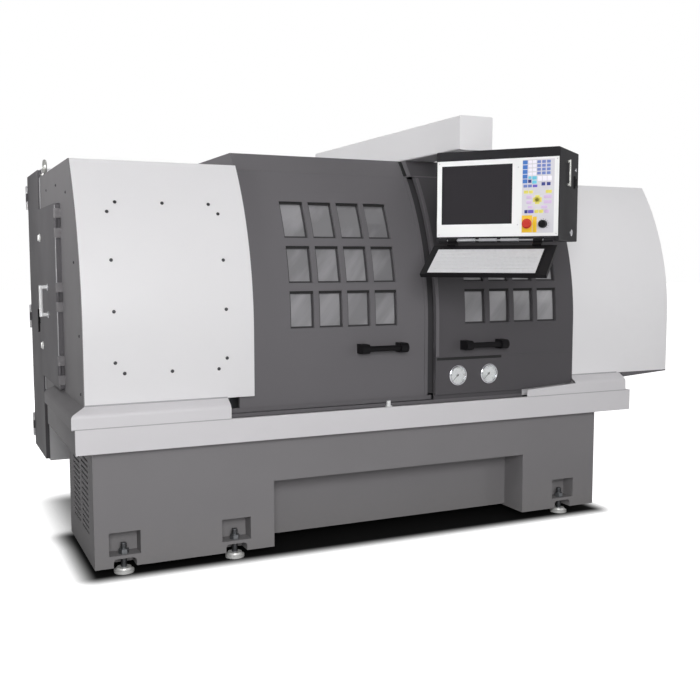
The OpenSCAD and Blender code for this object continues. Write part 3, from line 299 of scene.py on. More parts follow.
def moulded(name: str, colour: Colour, roughness: float, cell: float, relief: float, **more: float) -> Finish:
    """A moulded plastic's finish."""
    return Finish(name, colour, roughness, grain=Grain.MOULDED, cell=cell, relief=relief, **more)


def polished(name: str, colour: Colour, roughness: float, metallic: float = 0.0, **more: float) -> Finish:
    """A finish without any grain."""
    return Finish(name, colour, roughness, metallic, Grain.SMOOTH, **more)


WHITE_PAINT = Finish("white_paint", (223, 222, 224), 0.42, coat=0.08, blotch=0.02)
# A lighter copy of the white paint for the tail cover: painted light that makes up for the lamps' fall-off to
# the right.
TAIL_LIT_WHITE = Finish("tail_lit_white", (233, 232, 234), 0.42, coat=0.08, blotch=0.02)
TRAY_WHITE = Finish("tray_white", (213, 211, 214), 0.42, coat=0.1, blotch=0.03)
DARK_PAINT = Finish("dark_grey_paint", (103, 101, 104), 0.5, blotch=0.05, specular=0.2)
# A darker copy of the dark grey paint for the right door, its gauge panel and the fascia panel above: painted
# shade.
RIGHT_DOOR_SHADED_PAINT = Finish("right_door_shaded_paint", (81, 79, 82), 0.5, blotch=0.05, specular=0.2)
BASE_PAINT = Finish("pedestal_grey_paint", (130, 128, 130), 0.6, blotch=0.06, dust_top=0.22, specular=0.12)
END_PAINT = Finish("end_grey_paint", (119, 117, 119), 0.5, blotch=0.05, specular=0.15)
END_DOOR_PAINT = Finish("end_door_grey_paint", (90, 88, 91), 0.5, blotch=0.05, specular=0.15)
# Pale grey for edge strips that paint highlights on rounded edges.
EDGE_HIGHLIGHT_GREY = Finish("edge_highlight_grey", (176, 175, 178), 0.4, coat=0.2, blotch=0.03)
# Grey for the ledges' folded seams, and for strips that paint shade under the covers' feet.
SEAM_AND_SHADE_GREY = Finish("seam_and_shade_grey", (172, 171, 174), 0.6, blotch=0.03, specular=0.2)
HANDLE_GREY = Finish("handle_light_grey", (226, 226, 227), 0.35, coat=0.3, blotch=0.02)
LIGHT_PAINT = Finish("light_grey_paint", (206, 205, 207), 0.45, coat=0.15, blotch=0.03)
ARM_PAINT = Finish("arm_paint", (230, 229, 231), 0.45, coat=0.15, blotch=0.02)
BLACK_PLASTIC = moulded("black_plastic", (20, 19, 21), 0.45, 0.9, 0.1, specular=0.12)
BOX_BLACK = moulded("pendant_black", (33, 32, 35), 0.5, 1.2, 0.1, specular=0.15)
WHITE_PLASTIC = moulded("bezel_white", (238, 238, 238), 0.4, 1.0, 0.03, blotch=0.01)
SCREEN_BLACK = polished("screen_black", (52, 50, 53), 0.5, blotch=0.06, specular=0.02)
GREY_PLASTIC = moulded("membrane_grey", (214, 214, 216), 0.5, 0.8, 0.05)
PAD_GREY = moulded("keypad_grey", (214, 212, 218), 0.5, 0.8, 0.05)
RED_PLASTIC = moulded("stop_red", (196, 48, 34), 0.3, 1.0, 0.03)
# Grey glass whose base colour paints the reflection of the pale surroundings, with slanted painted reflection
# streaks.
PANE_PAINTED_REFLECTION = polished(
    "window_pane_painted_reflection", (152, 151, 154), 0.14, coat=0.3, transmission=0.2, blotch=0.2, drift=6.0, lean=38.0
)
PAD_NICKEL = Finish("pad_nickel", (230, 230, 228), 0.34, 0.35, Grain.CAST, cell=6.0, relief=0.04)
STEEL = Finish("ground_steel", (186, 187, 190), 0.3, 1.0, Grain.BRUSHED, cell=0.8, relief=0.08)
ZINC = Finish("zinc_plate", (196, 196, 192), 0.38, 1.0, Grain.CAST, cell=6.0, relief=0.05, blotch=0.12)
CHROME = polished("chrome", (226, 226, 230), 0.08, 1.0, blotch=0.02)
IRON = Finish("machined_iron", (120, 122, 125), 0.45, 0.85, Grain.BRUSHED, cell=1.2, relief=0.1)
CASTING = Finish(
    "painted_casting", (158, 162, 165), 0.55, grain=Grain.CAST, cell=5.0, relief=0.25, blotch=0.07
)
MOTOR_PAINT = Finish("motor_paint", (78, 84, 90), 0.5, grain=Grain.CAST, cell=4.0, relief=0.2)
NEEDLE = polished("needle_black", (20, 20, 20), 0.4)
BELT = moulded("belt_rubber", (30, 30, 31), 0.75, 1.5, 0.2)
SEAL_GREY = moulded("seal_grey", (62, 61, 63), 0.7, 1.2, 0.1, specular=0.2)
# Black rubber for seals, and for strips that paint shadow lines at the panes' tops and under the right door.
RUBBER_AND_SHADE = moulded("seal_rubber_and_shade", (24, 24, 25), 0.8, 1.2, 0.15)
SCREW_THREAD = Finish("ball_screw", (176, 178, 182), 0.26, 1.0, Grain.THREAD, cell=10.0, relief=0.8)
SCREW_DARK = Finish("oxide_screws", (66, 65, 68), 0.4, 0.8, Grain.CAST, cell=2.0, relief=0.1)
DIAL = polished("dial_enamel", (206, 205, 206), 0.35, blotch=0.01)
INK = polished("printed_black", (28, 28, 30), 0.5)
LENS = polished("gauge_lens", (250, 252, 252), 0.02, transmission=1.0, blotch=0.0)
STOP_YELLOW = moulded("stop_plate_yellow", (240, 196, 40), 0.4, 1.0, 0.03)
CARBIDE = polished("coated_carbide", (196, 156, 70), 0.3, 0.9)
BRASS = polished("brass", (196, 162, 86), 0.25, 1.0)
DRIVE_GREY = moulded("drive_housing", (196, 194, 186), 0.5, 1.2, 0.06)
COPPER = polished("terminal_copper", (190, 118, 84), 0.35, 1.0)
KEYS = {
    name: moulded(f"key_{name}", colour, 0.42, 0.8, 0.04)
    for name, colour in (
        ("navy", (40, 50, 128)), ("azure", (62, 118, 196)), ("slate", (112, 132, 196)),
        ("cyan", (108, 200, 224)), ("white", (242, 238, 248)), ("lilac", (214, 190, 224)),
        ("yellow", (232, 222, 104)), ("purple", (104, 86, 192)),
    )
}

NODE_FINISH: dict[Finish, tuple[str, ...]] = {
    WHITE_PAINT: ("headstock_cover",),
    TAIL_LIT_WHITE: ("tail_cover",),
    TRAY_WHITE: ("chip_tray", "left_ledge", "right_ledge"),
    DARK_PAINT: ("door_track", "rear_panel", "tail_floor", "enclosure_roof", "main_door"),
    END_DOOR_PAINT: ("access_door", "cabinet_door"),
    RIGHT_DOOR_SHADED_PAINT: ("right_door", "gauge_panel"),
    BASE_PAINT: ("base_pedestal", "cabinet_brackets"),
    END_PAINT: ("end_frame",),
    LIGHT_PAINT: ("electrical_cabinet",),
    ARM_PAINT: ("pendant_arm",),
    BLACK_PLASTIC: (
        "main_door_handle", "right_door_handle", "cabinet_latch", "override_knob", "keyboard_shelf",
    ),
    BOX_BLACK: ("pendant_housing",),
    WHITE_PLASTIC: ("pendant_bezel",),
    SCREEN_BLACK: ("screen",),
    PAD_GREY: ("keypad",),
    GREY_PLASTIC: ("keyboard",),
    RED_PLASTIC: ("emergency_stop",),
    PANE_PAINTED_REFLECTION: ("main_door_window", "right_door_window"),
    STEEL: (
        "hinge_pins", "shelf_pin", "spindle", "chuck_jaw_1", "chuck_jaw_2", "chuck_jaw_3", "tool_turret",
        "quill", "handwheel",
    ),
    SCREW_THREAD: ("ball_screw",),
    ZINC: ("lifting_eyes", "drive_rack"),
    PAD_NICKEL: ("levelling_pads",),
    HANDLE_GREY: ("access_handle",),
    CHROME: ("gauge_cases",),
    IRON: ("bed", "jack_screws", "spindle_pulley", "motor_pulley", "chuck_body"),
    CASTING: ("headstock", "saddle", "cross_slide", "tailstock"),
    MOTOR_PAINT: ("spindle_motor",),
    NEEDLE: ("needle_left", "needle_right"),
    BELT: ("drive_belt",),
}


def datum() -> Matrix:
    """The move from machine millimetres to the frame's metres."""
    return Matrix.Scale(MM, 4) @ Matrix.Translation(-Vector(FRAME_ORIGIN))


def moved(*offset: float) -> Matrix:
    """A move by X, Y and Z."""
    return Matrix.Translation(offset)


def turned_by(degrees: float, axis: str = "Z") -> Matrix:
    """A turn about one axis."""
    return Matrix.Rotation(math.radians(degrees), 4, axis)


def machine_box(node: str) -> tuple[Vector, Vector]:
    """Lowest and highest corner of a solid in machine millimetres."""
    low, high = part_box(node)
    return datum().inverted() @ low, datum().inverted() @ high


def facing(origin: Point, normal: Point, up: Point = (0.0, 0.0, 1.0)) -> Matrix:
    """A frame whose local Z points along a normal.

    Args:
        origin: The frame's origin, in machine millimetres.
        normal: Direction of local Z.
        up: Direction that local Y leans to.

    Returns:
        The frame as a matrix.
    """
    z = Vector(normal).normalized()
    x = Vector(up).cross(z).normalized()
    turn = Matrix((x, z.cross(x), z)).transposed().to_4x4()
    return moved(*origin) @ turn


@dataclass(frozen=True)
class CurvedFront:
    """The enclosure's front: upright below, leaning back in an arc above."""

    radius: float = 1260.0
    start: float = 1000.0

    def depth(self, set_back: float, z: float) -> float:
        """How far back the front lies at a height, for a given set-back."""
        lift = max(0.0, z - self.start)
        return self.radius - math.sqrt((self.radius - set_back) ** 2 - lift ** 2)

    def frame(self, x: float, z: float, set_back: float) -> Matrix:
        """A frame on the front with local Z pointing out of it.

        Args:
            x: Place along the machine.
            z: Height.
            set_back: Set-back of the surface behind the headstock cover.

        Returns:
            The frame as a matrix.
        """
        y = self.depth(set_back, z)
        out = (0.0, y - self.radius, z - self.start) if z > self.start else (0.0, -1.0, 0.0)
        return facing((x, y, z), out)


FRONT = CurvedFront()


class Form:
    """A mesh under construction, in machine millimetres."""

    def __init__(self) -> None:
        """Start empty."""
        self.bm = bmesh.new()

    def _join(self, part: bmesh.types.BMesh, place: Matrix) -> Form:
        """Put a finished part into the mesh.

        Args:
            part: The part, which is used up.
            place: The local frame that it was made in.

        Returns:
            This form.
        """
        bmesh.ops.recalc_face_normals(part, faces=part.faces)
        bmesh.ops.transform(part, matrix=place, verts=part.verts)
        carrier = bpy.data.meshes.new("part")
        part.to_mesh(carrier)
        part.free()
        self.bm.from_mesh(carrier)
        bpy.data.meshes.remove(carrier)
        return self

    def block(
        self, low: Point, high: Point, place: Matrix = STILL, edge: float = 0.6, segments: int = 2
    ) -> Form:
        """Add a block with rounded edges.

        Args:
            low: Lowest corner in the local frame.
            high: Highest corner in the local frame.
            place: The local frame.
            edge: Radius of its edges.
            segments: Steps round each edge.

        Returns:
            This form.
        """
        part = bmesh.new()
        bmesh.ops.create_cube(part, size=1.0)
        size = Vector(high) - Vector(low)
        bmesh.ops.scale(part, vec=size, verts=part.verts)
        bmesh.ops.translate(part, vec=(Vector(low) + Vector(high)) / 2, verts=part.verts)
        if edge:
            bmesh.ops.bevel(
                part, geom=part.edges[:], offset=min(edge, min(size) * EDGE_LIMIT), segments=segments,
                profile=0.5, affect="EDGES", material=-1, clamp_overlap=True,
            )
        return self._join(part, place)

    def turned(self, profile: Iterable[Pair], place: Matrix, steps: int = 32) -> Form:
        """Add a shape turned about local Z from a profile of radius and height.

        Args:
            profile: Points from the axis round the outside back to the axis.
            place: The local frame.
            steps: Steps round the axis.

        Returns:
            This form.
        """
        part = bmesh.new()
        points = [part.verts.new((r, 0.0, h)) for r, h in profile]
        edges = [part.edges.new(pair) for pair in zip(points, points[1:])]
        bmesh.ops.spin(
            part, geom=points + edges, cent=(0, 0, 0), axis=(0, 0, 1), angle=2 * math.pi, steps=steps,
            use_merge=True,
        )
        bmesh.ops.remove_doubles(part, verts=part.verts, dist=MERGE)
        return self._join(part, place)

    def ring(self, radii: Pair, heights: Pair, place: Matrix, steps: int = 32) -> Form:
        """Add a square-edged ring round local Z."""
        (r1, r2), (low, high) = radii, heights
        return self.turned([(r1, low), (r2, low), (r2, high), (r1, high), (r1, low)], place, steps)

    def helix(self, radius: float, ridge: float, pitch: float, turns: float, place: Matrix) -> Form:
        """Add a screw thread's ridge, climbing along local Z.

        Args:
            radius: Radius of the core.
            ridge: Height of the ridge above the core.
            pitch: Climb of one turn.
            turns: Number of turns.
            place: The local frame.

        Returns:
            This form.
        """
        part = bmesh.new()
        half = pitch * THREAD_FILL
        tri = [(radius - SUNK, -half), (radius + ridge, 0.0), (radius - SUNK, half)]
        part.faces.new([part.verts.new((r, 0.0, h)) for r, h in tri])
        steps = int(THREAD_STEPS * turns)
        bmesh.ops.spin(
            part, geom=part.faces[:], cent=(0, 0, 0), axis=(0, 0, 1), angle=2 * math.pi * turns, steps=steps,
            dvec=(0, 0, pitch * turns / steps),
        )
        return self._join(part, place)

    @staticmethod
    def _sheet(low: Point, high: Point, deep: float, rows: int, width: float = 0.0) -> bmesh.types.BMesh:
        """A flat rectangle in local X and Y, or a frame, standing up along local Z.

        Args:
            low: Lowest corner of its outside.
            high: Highest corner of its outside.
            deep: Its thickness.
            rows: Steps along Y, for a sheet that is bent later.
            width: Width of a frame's bars, or 0 for a full rectangle.

        Returns:
            The loose mesh.
        """
        part = bmesh.new()
        bmesh.ops.create_grid(part, x_segments=1, y_segments=rows, size=0.5)
        bmesh.ops.scale(part, vec=(high[0] - low[0], high[1] - low[1], 1.0), verts=part.verts)
        middle = ((low[0] + high[0]) / 2, (low[1] + high[1]) / 2, 0.0)
        bmesh.ops.translate(part, vec=middle, verts=part.verts)
        if width:
            inner = part.faces[:]
            bmesh.ops.inset_region(
                part, faces=inner, thickness=width, use_boundary=True, use_even_offset=True
            )
            bmesh.ops.delete(part, geom=inner, context="FACES")
        made = bmesh.ops.extrude_face_region(part, geom=part.faces[:])
        top = [v for v in made["geom"] if isinstance(v, bmesh.types.BMVert)]
        bmesh.ops.translate(part, vec=(0, 0, deep), verts=top)
        return part

    def framed(self, low: Point, high: Point, width: float, deep: float, place: Matrix) -> Form:
        """Add a flat rectangular frame with bars of a width at a place."""
        return self._join(self._sheet(low, high, deep, 1, width), place)

    def bent(
        self, low: Point, high: Point, deep: float, set_back: float, rows: int = 8, width: float = 0.0
    ) -> Form:
        """Add a strip or a frame that follows the curved front, standing out from a set-back.

        Args:
            low: Lowest X and Z.
            high: Highest X and Z.
            deep: Its thickness.
            set_back: Set-back of the surface that it lies on.
            rows: Steps along its height.
            width: Width of a frame's bars, or 0 for a strip.

        Returns:
            This form.
        """
        part = self._sheet(low, high, deep, rows, width)
        for vert in part.verts:
            x, z, out = vert.co
            vert.co = (x, FRONT.depth(set_back - out, z), z)
        return self._join(part, STILL)

    def screw(self, place: Matrix, radius: float = 7.0) -> Form:
        """Add a button-head screw with a socket, its head standing on the local plane."""
        head = [(radius * out, radius * up) for out, up in SCREW_HEAD]
        return self.turned([(0.0, -SUNK), (radius, -SUNK), *head], place, SCREW_STEPS)

    def screws(self, spots: Iterable[Point], normal: Point, radius: float) -> Form:
        """Add screws that all face the same way.

        Args:
            spots: Their places, in machine millimetres.
            normal: Direction that they face.
            radius: Radius of their heads.

        Returns:
            This form.
        """
        for spot in spots:
            self.screw(facing(spot, normal), radius)
        return self

    def piece(self, name: str, finish: Finish, body: str = "base", slot: str = "steel") -> None:
        """Make the object, dress it and let it ride on a body.

        Args:
            name: Name of the piece.
            finish: Its finish.
            body: Body that carries it.
            slot: Not used.
        """
        bmesh.ops.transform(self.bm, matrix=datum(), verts=self.bm.verts)
        mesh = bpy.data.meshes.new(name)
        self.bm.to_mesh(mesh)
        self.bm.free()
        mesh.shade_smooth()
        mesh.set_sharp_from_angle(angle=math.radians(SHARP_ANGLE))
        mesh.materials.append(finish.material())
        made = bpy.data.objects.new(name, mesh)
        bpy.context.scene.collection.objects.link(made)
        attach(made, body)
        LOG.info("%s rides on %s, %d faces", name, body, len(mesh.polygons))


@dataclass
class Covers:
    """Screws, seals, seams and trims of the fixed covers, with strips that paint shade under the covers' feet
    and the right door.
    """

    columns: Pair = (103.0, 579.0)
    chamfers: Pair = (140.0, 542.0)
    middle: float = 339.0
    rows: Point = (890.0, 1100.0, 1310.0, 1510.0)
    ends: Pair = (845.0, 1551.0)
    rear_y: float = 1217.0
    rear_rows: Point = (760.0, 1080.0, 1400.0, 1660.0)
    hood_z: float = 1760.0
    end_x: float = -28.0
    tail_end_x: float = 3075.0
    sheet_screw: float = 6.5
    track: Pair = (584.0, 2111.0)

    def build(self) -> None:
        """Make all pieces of the covers."""
        self._front_screws()
        self._rear_screws()
        self._end_screws()
        self._track_strips()
        self._roof_trim()
        self._seams()

    def _front_screws(self) -> None:
        """The ring of screws that holds the panel on the headstock cover."""
        form = Form()
        spots = [(x, z) for x in self.columns for z in self.rows]
        spots += [(x, z) for x in (*self.chamfers, self.middle) for z in self.ends]
        for x, z in spots:
            form.screw(FRONT.frame(x, z, 0), 7.5)
        form.piece("cover_screws", SCREW_DARK)

    def _rear_screws(self) -> None:
        """Rows of screws along the rear sheet and the hood."""
        spots = [(x, self.rear_y, z) for x in range(1200, 3001, 300) for z in self.rear_rows]
        spots += [(x, self.rear_y + 3, self.hood_z) for x in (1160, 1360, 1560, 1800, 2120, 2270)]
        form = Form().screws(spots, TO_REAR, self.sheet_screw)
        form.piece("rear_screws", SCREW_DARK)

    def _end_screws(self) -> None:
        """Screws round the end plate and along the tail cover's end."""
        left = ((60, 760), (60, 1000), (150, 1300), (330, 1600), (620, 1650), (960, 1650))
        right = (
            (60, 760), (60, 1010), (170, 1330), (330, 1600), (620, 1660), (920, 1660), (1160, 1600),
            (1160, 1330), (1160, 1010), (1160, 760), (780, 760), (400, 760),
        )
        form = Form().screws([(self.end_x, *spot) for spot in left], TO_LEFT, self.sheet_screw)
        form.screws([(self.tail_end_x, *spot) for spot in right], TO_RIGHT, self.sheet_screw)
        form.piece("end_screws", SCREW_DARK)

    def _track_strips(self) -> None:
        """Wear strips on the two steps of the door track, and a door stop."""
        x1, x2 = self.track
        form = Form().block((x1, -1, 644), (x2, 13, 646), edge=0.8)
        form.block((x1, -30, 628), (x2, -6, 630), edge=0.8)
        form.piece("track_strips", SCREW_DARK)
        stop = Form().block((1346, -24, 629.8), (1362, -10, 658), edge=2, segments=3)
        stop.block((1340, -28, 629.8), (1368, -7, 634), edge=1.2)
        stop.piece("track_stop", HANDLE_GREY)

    def _roof_trim(self) -> None:
        """Split seal, and a right-hand panel in the darker shaded copy of the door paint, on the roof's
        fascia.
        """
        seal = Form().bent((1571, 1722), (1584.5, 1797), 8, 22)
        seal.piece("roof_split_seal", RUBBER_AND_SHADE, "base", "black_plastic")
        panel = Form().bent((1588, 1721), (2284, 1797.5), 1.2, -14)
        panel.piece("roof_fascia_panel", RIGHT_DOOR_SHADED_PAINT, "base", "dark_paint")

    def _seams(self) -> None:
        """Folded seams of the ledges, grey strips at the covers' feet that paint their shade on the ledges,
        and a black lip under the right door that paints its shadow line.
        """
        fold, foot_shade = Form(), Form()
        for node in ("left_ledge", "right_ledge"):
            low, high = machine_box(node)
            fold.block(
                (low.x + 1, low.y - 1.2, low.z - 1.8), (high.x - 0.5, low.y + 0.3, low.z + 1.8), edge=0.4
            )
        fold.piece("ledge_seams", SEAM_AND_SHADE_GREY, "base", "white_paint")
        left, right = machine_box("left_ledge")[1], machine_box("right_ledge")[1]
        cover, tail = machine_box("headstock_cover")[0], machine_box("tail_cover")[0]
        door = machine_box("right_door")[1]
        # Painted shade: grey strips along the covers' feet darken the ledges just under their edges.
        for x1, x2, y, z in (
            (cover.x + 1, left.x - 1, 0, cover.z), (door.x + 2, right.x - 8, tail.y, tail.z),
        ):
            foot_shade.block((x1, y - 2.8, z - 0.6), (x2, y + 0.3, z + 5))
        foot_shade.piece("cover_foot_shade_strips", SEAM_AND_SHADE_GREY, "base", "white_paint")
        # Painted shadow: a black lip along the gauge panel's top stands for the shadow line under the right
        # door.
        low, high = machine_box("gauge_panel")
        lip = Form().block(
            (low.x + 6, low.y - 2.4, high.z - 13), (low.x + 372, low.y + 0.3, high.z - 0.6), edge=0.8
        )
        lip.piece("gauge_panel_shadow_lip", RUBBER_AND_SHADE, "base", "black_plastic")


@dataclass
class Door:
    """Seals and trim of one sliding door, with black strips that paint the shadow along the top of each pane.
    """

    name: str
    set_back: float
    window_x: float
    edge: Pair
    low: float
    top: float = 1716.0
    pane: Pair = (115.0, 166.0)
    pitch: Pair = (141.0, 202.0)
    first_z: float = 1006.0
    play: float = 0.3
    glass_set: float = 17.0
    top_shadow_height: float = 12.0
    columns: int = 4
    rows: int = 3

    def build(self) -> None:
        """Make the door's pieces."""
        frames, top_shadow_strips = Form(), Form()
        glass = self.set_back + self.glass_set
        for col in range(self.columns):
            for row in range(self.rows):
                x1 = self.window_x + col * self.pitch[0] + self.play
                z1 = self.first_z + row * self.pitch[1] + self.play
                x2, z2 = x1 + self.pane[0] - 2 * self.play, z1 + self.pane[1] - 2 * self.play
                frames.bent((x1, z1), (x2, z2), 5, glass, rows=10, width=7)
                # Painted shadow: a black strip along each pane's top stands for the shade under the opening's
                # upper edge.
                top_shadow_strips.bent((x1, z2 - self.top_shadow_height), (x2, z2), 11, glass)
        frames.piece(f"{self.name}_gaskets", SEAL_GREY, self.name, "black_plastic")
        top_shadow_strips.piece(f"{self.name}_drips", RUBBER_AND_SHADE, self.name, "black_plastic")
        left, right = self.edge
        lip = Form().bent((left, self.low + 6), (right, self.top - 6), 3, self.set_back, 32)
        lip.piece(f"{self.name}_edge", DARK_PAINT, self.name, "dark_paint")


@dataclass
class Gauge:
    """Dial, scale and lens of one pressure gauge."""

    name: str
    x: float
    z: float = 758.0
    face_y: float = -14.0
    dial_r: float = 40.6
    hub_r: float = 2.6
    marks: int = 31
    first_mark: float = 225.0
    mark_step: float = 9.0
    steps: int = 64

    def build(self) -> None:
        """Make the dial, its printed scale and its lens."""
        place = facing((self.x, self.face_y, self.z), TO_FRONT)
        r = self.dial_r
        dial = Form().ring((self.hub_r, r), (3.9, 4.6), place, self.steps)
        dial.piece(f"{self.name}_dial", DIAL, "base", "white_plastic")
        ink = Form()
        for mark in range(self.marks):
            turn = place @ turned_by(self.first_mark - mark * self.mark_step)
            long, half = (9, 1) if mark % 5 == 0 else (6, 0.5)
            ink.block((r - long, -half, 4.5), (r - 2.4, half, 4.9), turn, 0)
        ink.ring((5.2, 6.4), (4.5, 5), place)
        ink.piece(f"{self.name}_scale", INK, "base", "needle_black")
        profile = [(0, 11), (r, 11), (r, 12.2), (r * 0.7, 12.7), (0, 12.9)]
        lens = Form().turned(profile, place, self.steps)
        lens.piece(f"{self.name}_lens", LENS, "base", "window")


@dataclass
class Pendant:
    """Keys and fittings of the control pendant, in its own frame."""

    pivot: Point = (1671.0, -160.0, 1393.0)
    yaw: float = -52.0
    face_y: float = -120.0
    left: float = -94.0
    right: float = 466.0
    rear_y: float = 200.0
    screen: tuple[float, float, float, float] = (-68.0, 258.0, 75.0, 333.0)
    pad_corner: Pair = (302.0, 346.0)
    stop: Pair = (332.0, 73.0)
    knob: Pair = (398.0, 71.0)
    knob_marks: int = 11
    first_mark: float = 225.0
    mark_step: float = 27.0
    key_high: float = 1.6

    def frame(self) -> Matrix:
        """The pendant's own frame."""
        return moved(*self.pivot) @ turned_by(self.yaw)

    def face(self, x: float = 0, z: float = 0, out: float = 0) -> Matrix:
        """A frame on the pendant's face: local X across, Y up, Z towards the operator."""
        return self.frame() @ facing((0, self.face_y, 0), TO_FRONT) @ moved(x, z, out)

    def build(self) -> None:
        """Make all pieces of the pendant."""
        self._screen_frame()
        self._keys()
        self._stop_plate()
        self._knob_scale()
        self._bezel_screws()
        self._side_fittings()
        self._rear_fittings()

    def _screen_frame(self) -> None:
        """The dark gasket round the screen."""
        x1, x2, z1, z2 = self.screen
        form = Form().framed((x1, z1), (x2, z2), 4, 4.4, self.face(out=-5))
        form.piece("screen_gasket", RUBBER_AND_SHADE, "pendant", "black_plastic")

    def _keys(self) -> None:
        """The coloured keys above the stop button: left, top, width and height from the pad's upper left."""
        rows: dict[str, list[tuple[float, float, float, float]]] = {
            "azure": [(2, 3 + 20 * row, 21, 17) for row in range(5)],
            "white": [
                *((col, 4 + 17 * row, 16, 13) for col in (26, 45) for row in range(4)),
                *((68 + 21 * col, 72, 18, 20) for col in range(3)),
            ],
            "slate": [
                *((65 + 21 * col, 5 + 16 * row, 16, 12) for col in range(3) for row in range(4)),
                (6, 106, 17, 12), (26, 106, 17, 12),
            ],
            "cyan": [(44, 71, 20, 15), (44, 89, 20, 14), (27, 71, 14, 11)],
            "navy": [(26, 85, 15, 14), (85, 98, 16, 14), (108, 98, 16, 14), (12, 214, 14, 14)],
            "lilac": [
                (20, 152, 24, 14), (96, 152, 34, 14), (20, 174, 24, 14), (96, 174, 34, 14),
                (84, 196, 28, 13), (26, 196, 22, 11), (100, 214, 20, 14),
            ],
            "yellow": [
                (8, 131, 20, 13), (31, 131, 17, 13), (104, 131, 26, 13), (58, 152, 20, 38),
                (49, 161, 38, 20), (57, 214, 17, 14), (77, 214, 17, 14),
            ],
            "purple": [(28, 214, 24, 14), (47, 107, 20, 11)],
        }
        left, top = self.pad_corner
        for colour, cells in rows.items():
            form = Form()
            for across, down, wide, high in cells:
                x, z = left + across, top - down - high
                form.block((x, z, -0.2), (x + wide, z + high, self.key_high), self.face(), 0.8)
            form.piece(f"keys_{colour}", KEYS[colour], "pendant", "grey_plastic")

    def _stop_plate(self) -> None:
        """The yellow plates under and beside the stop button."""
        x, z = self.stop
        form = Form().block((x - 29, z - 37, -0.2), (x + 17, z + 36, 1.4), self.face(), 1.2)
        form.block((x + 19, z - 37, -0.2), (x + 37, z + 30, 1.2), self.face(), 1.2)
        collar = [(8, 1), (19, 1), (19, 3.4), (17, 4.4), (8, 4.4), (8, 1)]
        form.turned(collar, self.face(x, z), 40)
        form.piece("stop_plate", STOP_YELLOW, "pendant", "red_plastic")

    def _knob_scale(self) -> None:
        """Printed marks round the override knob."""
        form = Form()
        for mark in range(self.knob_marks):
            turn = self.face(*self.knob) @ turned_by(self.first_mark - mark * self.mark_step)
            form.block((19.5, -0.6, -0.1), (24, 0.6, 0.5), turn, 0)
        form.piece("knob_scale", INK, "pendant", "needle_black")

    def _bezel_screws(self) -> None:
        """Pale screws beside the keypad and at the bezel's corners."""
        form = Form()
        spots = [(x, z) for x in (self.left + 14, self.right - 12) for z in (30, 345)]
        for spot in (*spots, (284, 316), (284, 70)):
            form.screw(self.face(*spot), 3.2)
        form.piece("bezel_screws", LIGHT_PAINT, "pendant", "steel")

    def _side_fittings(self) -> None:
        """Pull bar, lock and rest catch on the right-hand side."""
        side = self.frame() @ facing((self.right, 0, 0), TO_RIGHT)
        bar = Form().block((2, 236, 8), (20, 352, 14), side, 2.6, 3)
        for z in (238, 338):
            bar.block((4, z, -0.5), (18, z + 12, 10), side, 2)
        bar.piece("pendant_pull", ZINC, "pendant", "steel")
        barrel = [(0, -0.5), (15, -0.5), (15, 4), (13, 6), (5, 6), (5, 3.5), (0, 3.5)]
        lock = Form().turned(barrel, side @ moved(82, 38, 0))
        lock.screw(side @ moved(150, 318, 0), 8)
        lock.piece("pendant_lock", CHROME, "pendant", "chrome")
        catch = Form().block((126, 236, -0.5), (166, 290, 5), side, 2)
        catch.block((138, 246, 4), (154, 280, 9), side, 2)
        catch.piece("pendant_catch", BLACK_PLASTIC, "pendant", "black_plastic")

    def _rear_fittings(self) -> None:
        """The rear cover plate's screws."""
        rear = self.frame() @ facing((0, self.rear_y, 0), TO_REAR)
        form = Form()
        for x in (self.left + 16, 186, self.right - 16):
            for z in (18, 378):
                form.screw(rear @ moved(-x, z, 0), 4.5)
        form.piece("pendant_rear_screws", SCREW_DARK, "pendant", "steel")


@dataclass
class KeyboardDeck:
    """Flat keys of the sealed keyboard on its hinged shelf."""

    hinge: Point = (0.0, -134.0, 4.0)
    tilt: float = 37.0
    left: float = -61.0
    right: float = 418.0
    front: float = -221.0
    rear: float = -54.0
    top: float = -9.0
    pitch: float = 25.5
    rows: int = 6
    columns: int = 18
    key: float = 22.0
    long_key: tuple[int, int] = (4, 10)
    margin: Pair = (12.0, 10.0)
    stagger: float = 6.0
    lip: float = 6.0

    def build(self, pendant: Pendant) -> None:
        """Make the keys and the shelf's rim.

        Args:
            pendant: The pendant that carries the shelf.
        """
        place = pendant.frame() @ moved(*self.hinge) @ turned_by(self.tilt, "X")
        keys = Form()
        x1, y1 = self.left + self.margin[0], self.front + self.margin[1]
        low, high = self.top - 0.3, self.top + 1.3
        first, last = self.long_key
        for row in range(self.rows):
            for col in range(self.columns):
                if row == 0 and first <= col < last:
                    continue
                x, y = x1 + col * self.pitch + (self.stagger if row % 2 else 0), y1 + row * self.pitch
                keys.block((x, y, low), (x + self.key, y + self.key, high), place, 1)
        keys.block(
            (x1 + first * self.pitch, y1, low), (x1 - 4 + last * self.pitch, y1 + self.key, high), place, 1
        )
        keys.piece("keyboard_keys", GREY_PLASTIC, "keyboard_shelf", "grey_plastic")
        rim = Form().framed(
            (self.left - self.lip, self.front - self.lip), (self.right + self.lip, self.rear + self.lip),
            self.lip, 3, place @ moved(0, 0, -12.2),
        )
        rim.piece("keyboard_rim", BLACK_PLASTIC, "keyboard_shelf", "black_plastic")


@dataclass
class Feet:
    """Threads on the levelling screws."""

    xs: Point = (125.0, 613.0, 2383.0)
    ys: Pair = (32.0, 608.0)
    core: float = 12.0
    ridge: float = 1.2
    pitch: float = 3.0

    def build(self) -> None:
        """Make the exposed threads above each pad and above each nut."""
        form = Form()
        for x in self.xs:
            for y in self.ys:
                for z, turns in ((24.5, 13), (102, 7)):
                    form.helix(self.core, self.ridge, self.pitch, turns, moved(x, y, z))
        form.piece("jack_threads", SCREW_DARK, "base", "iron")


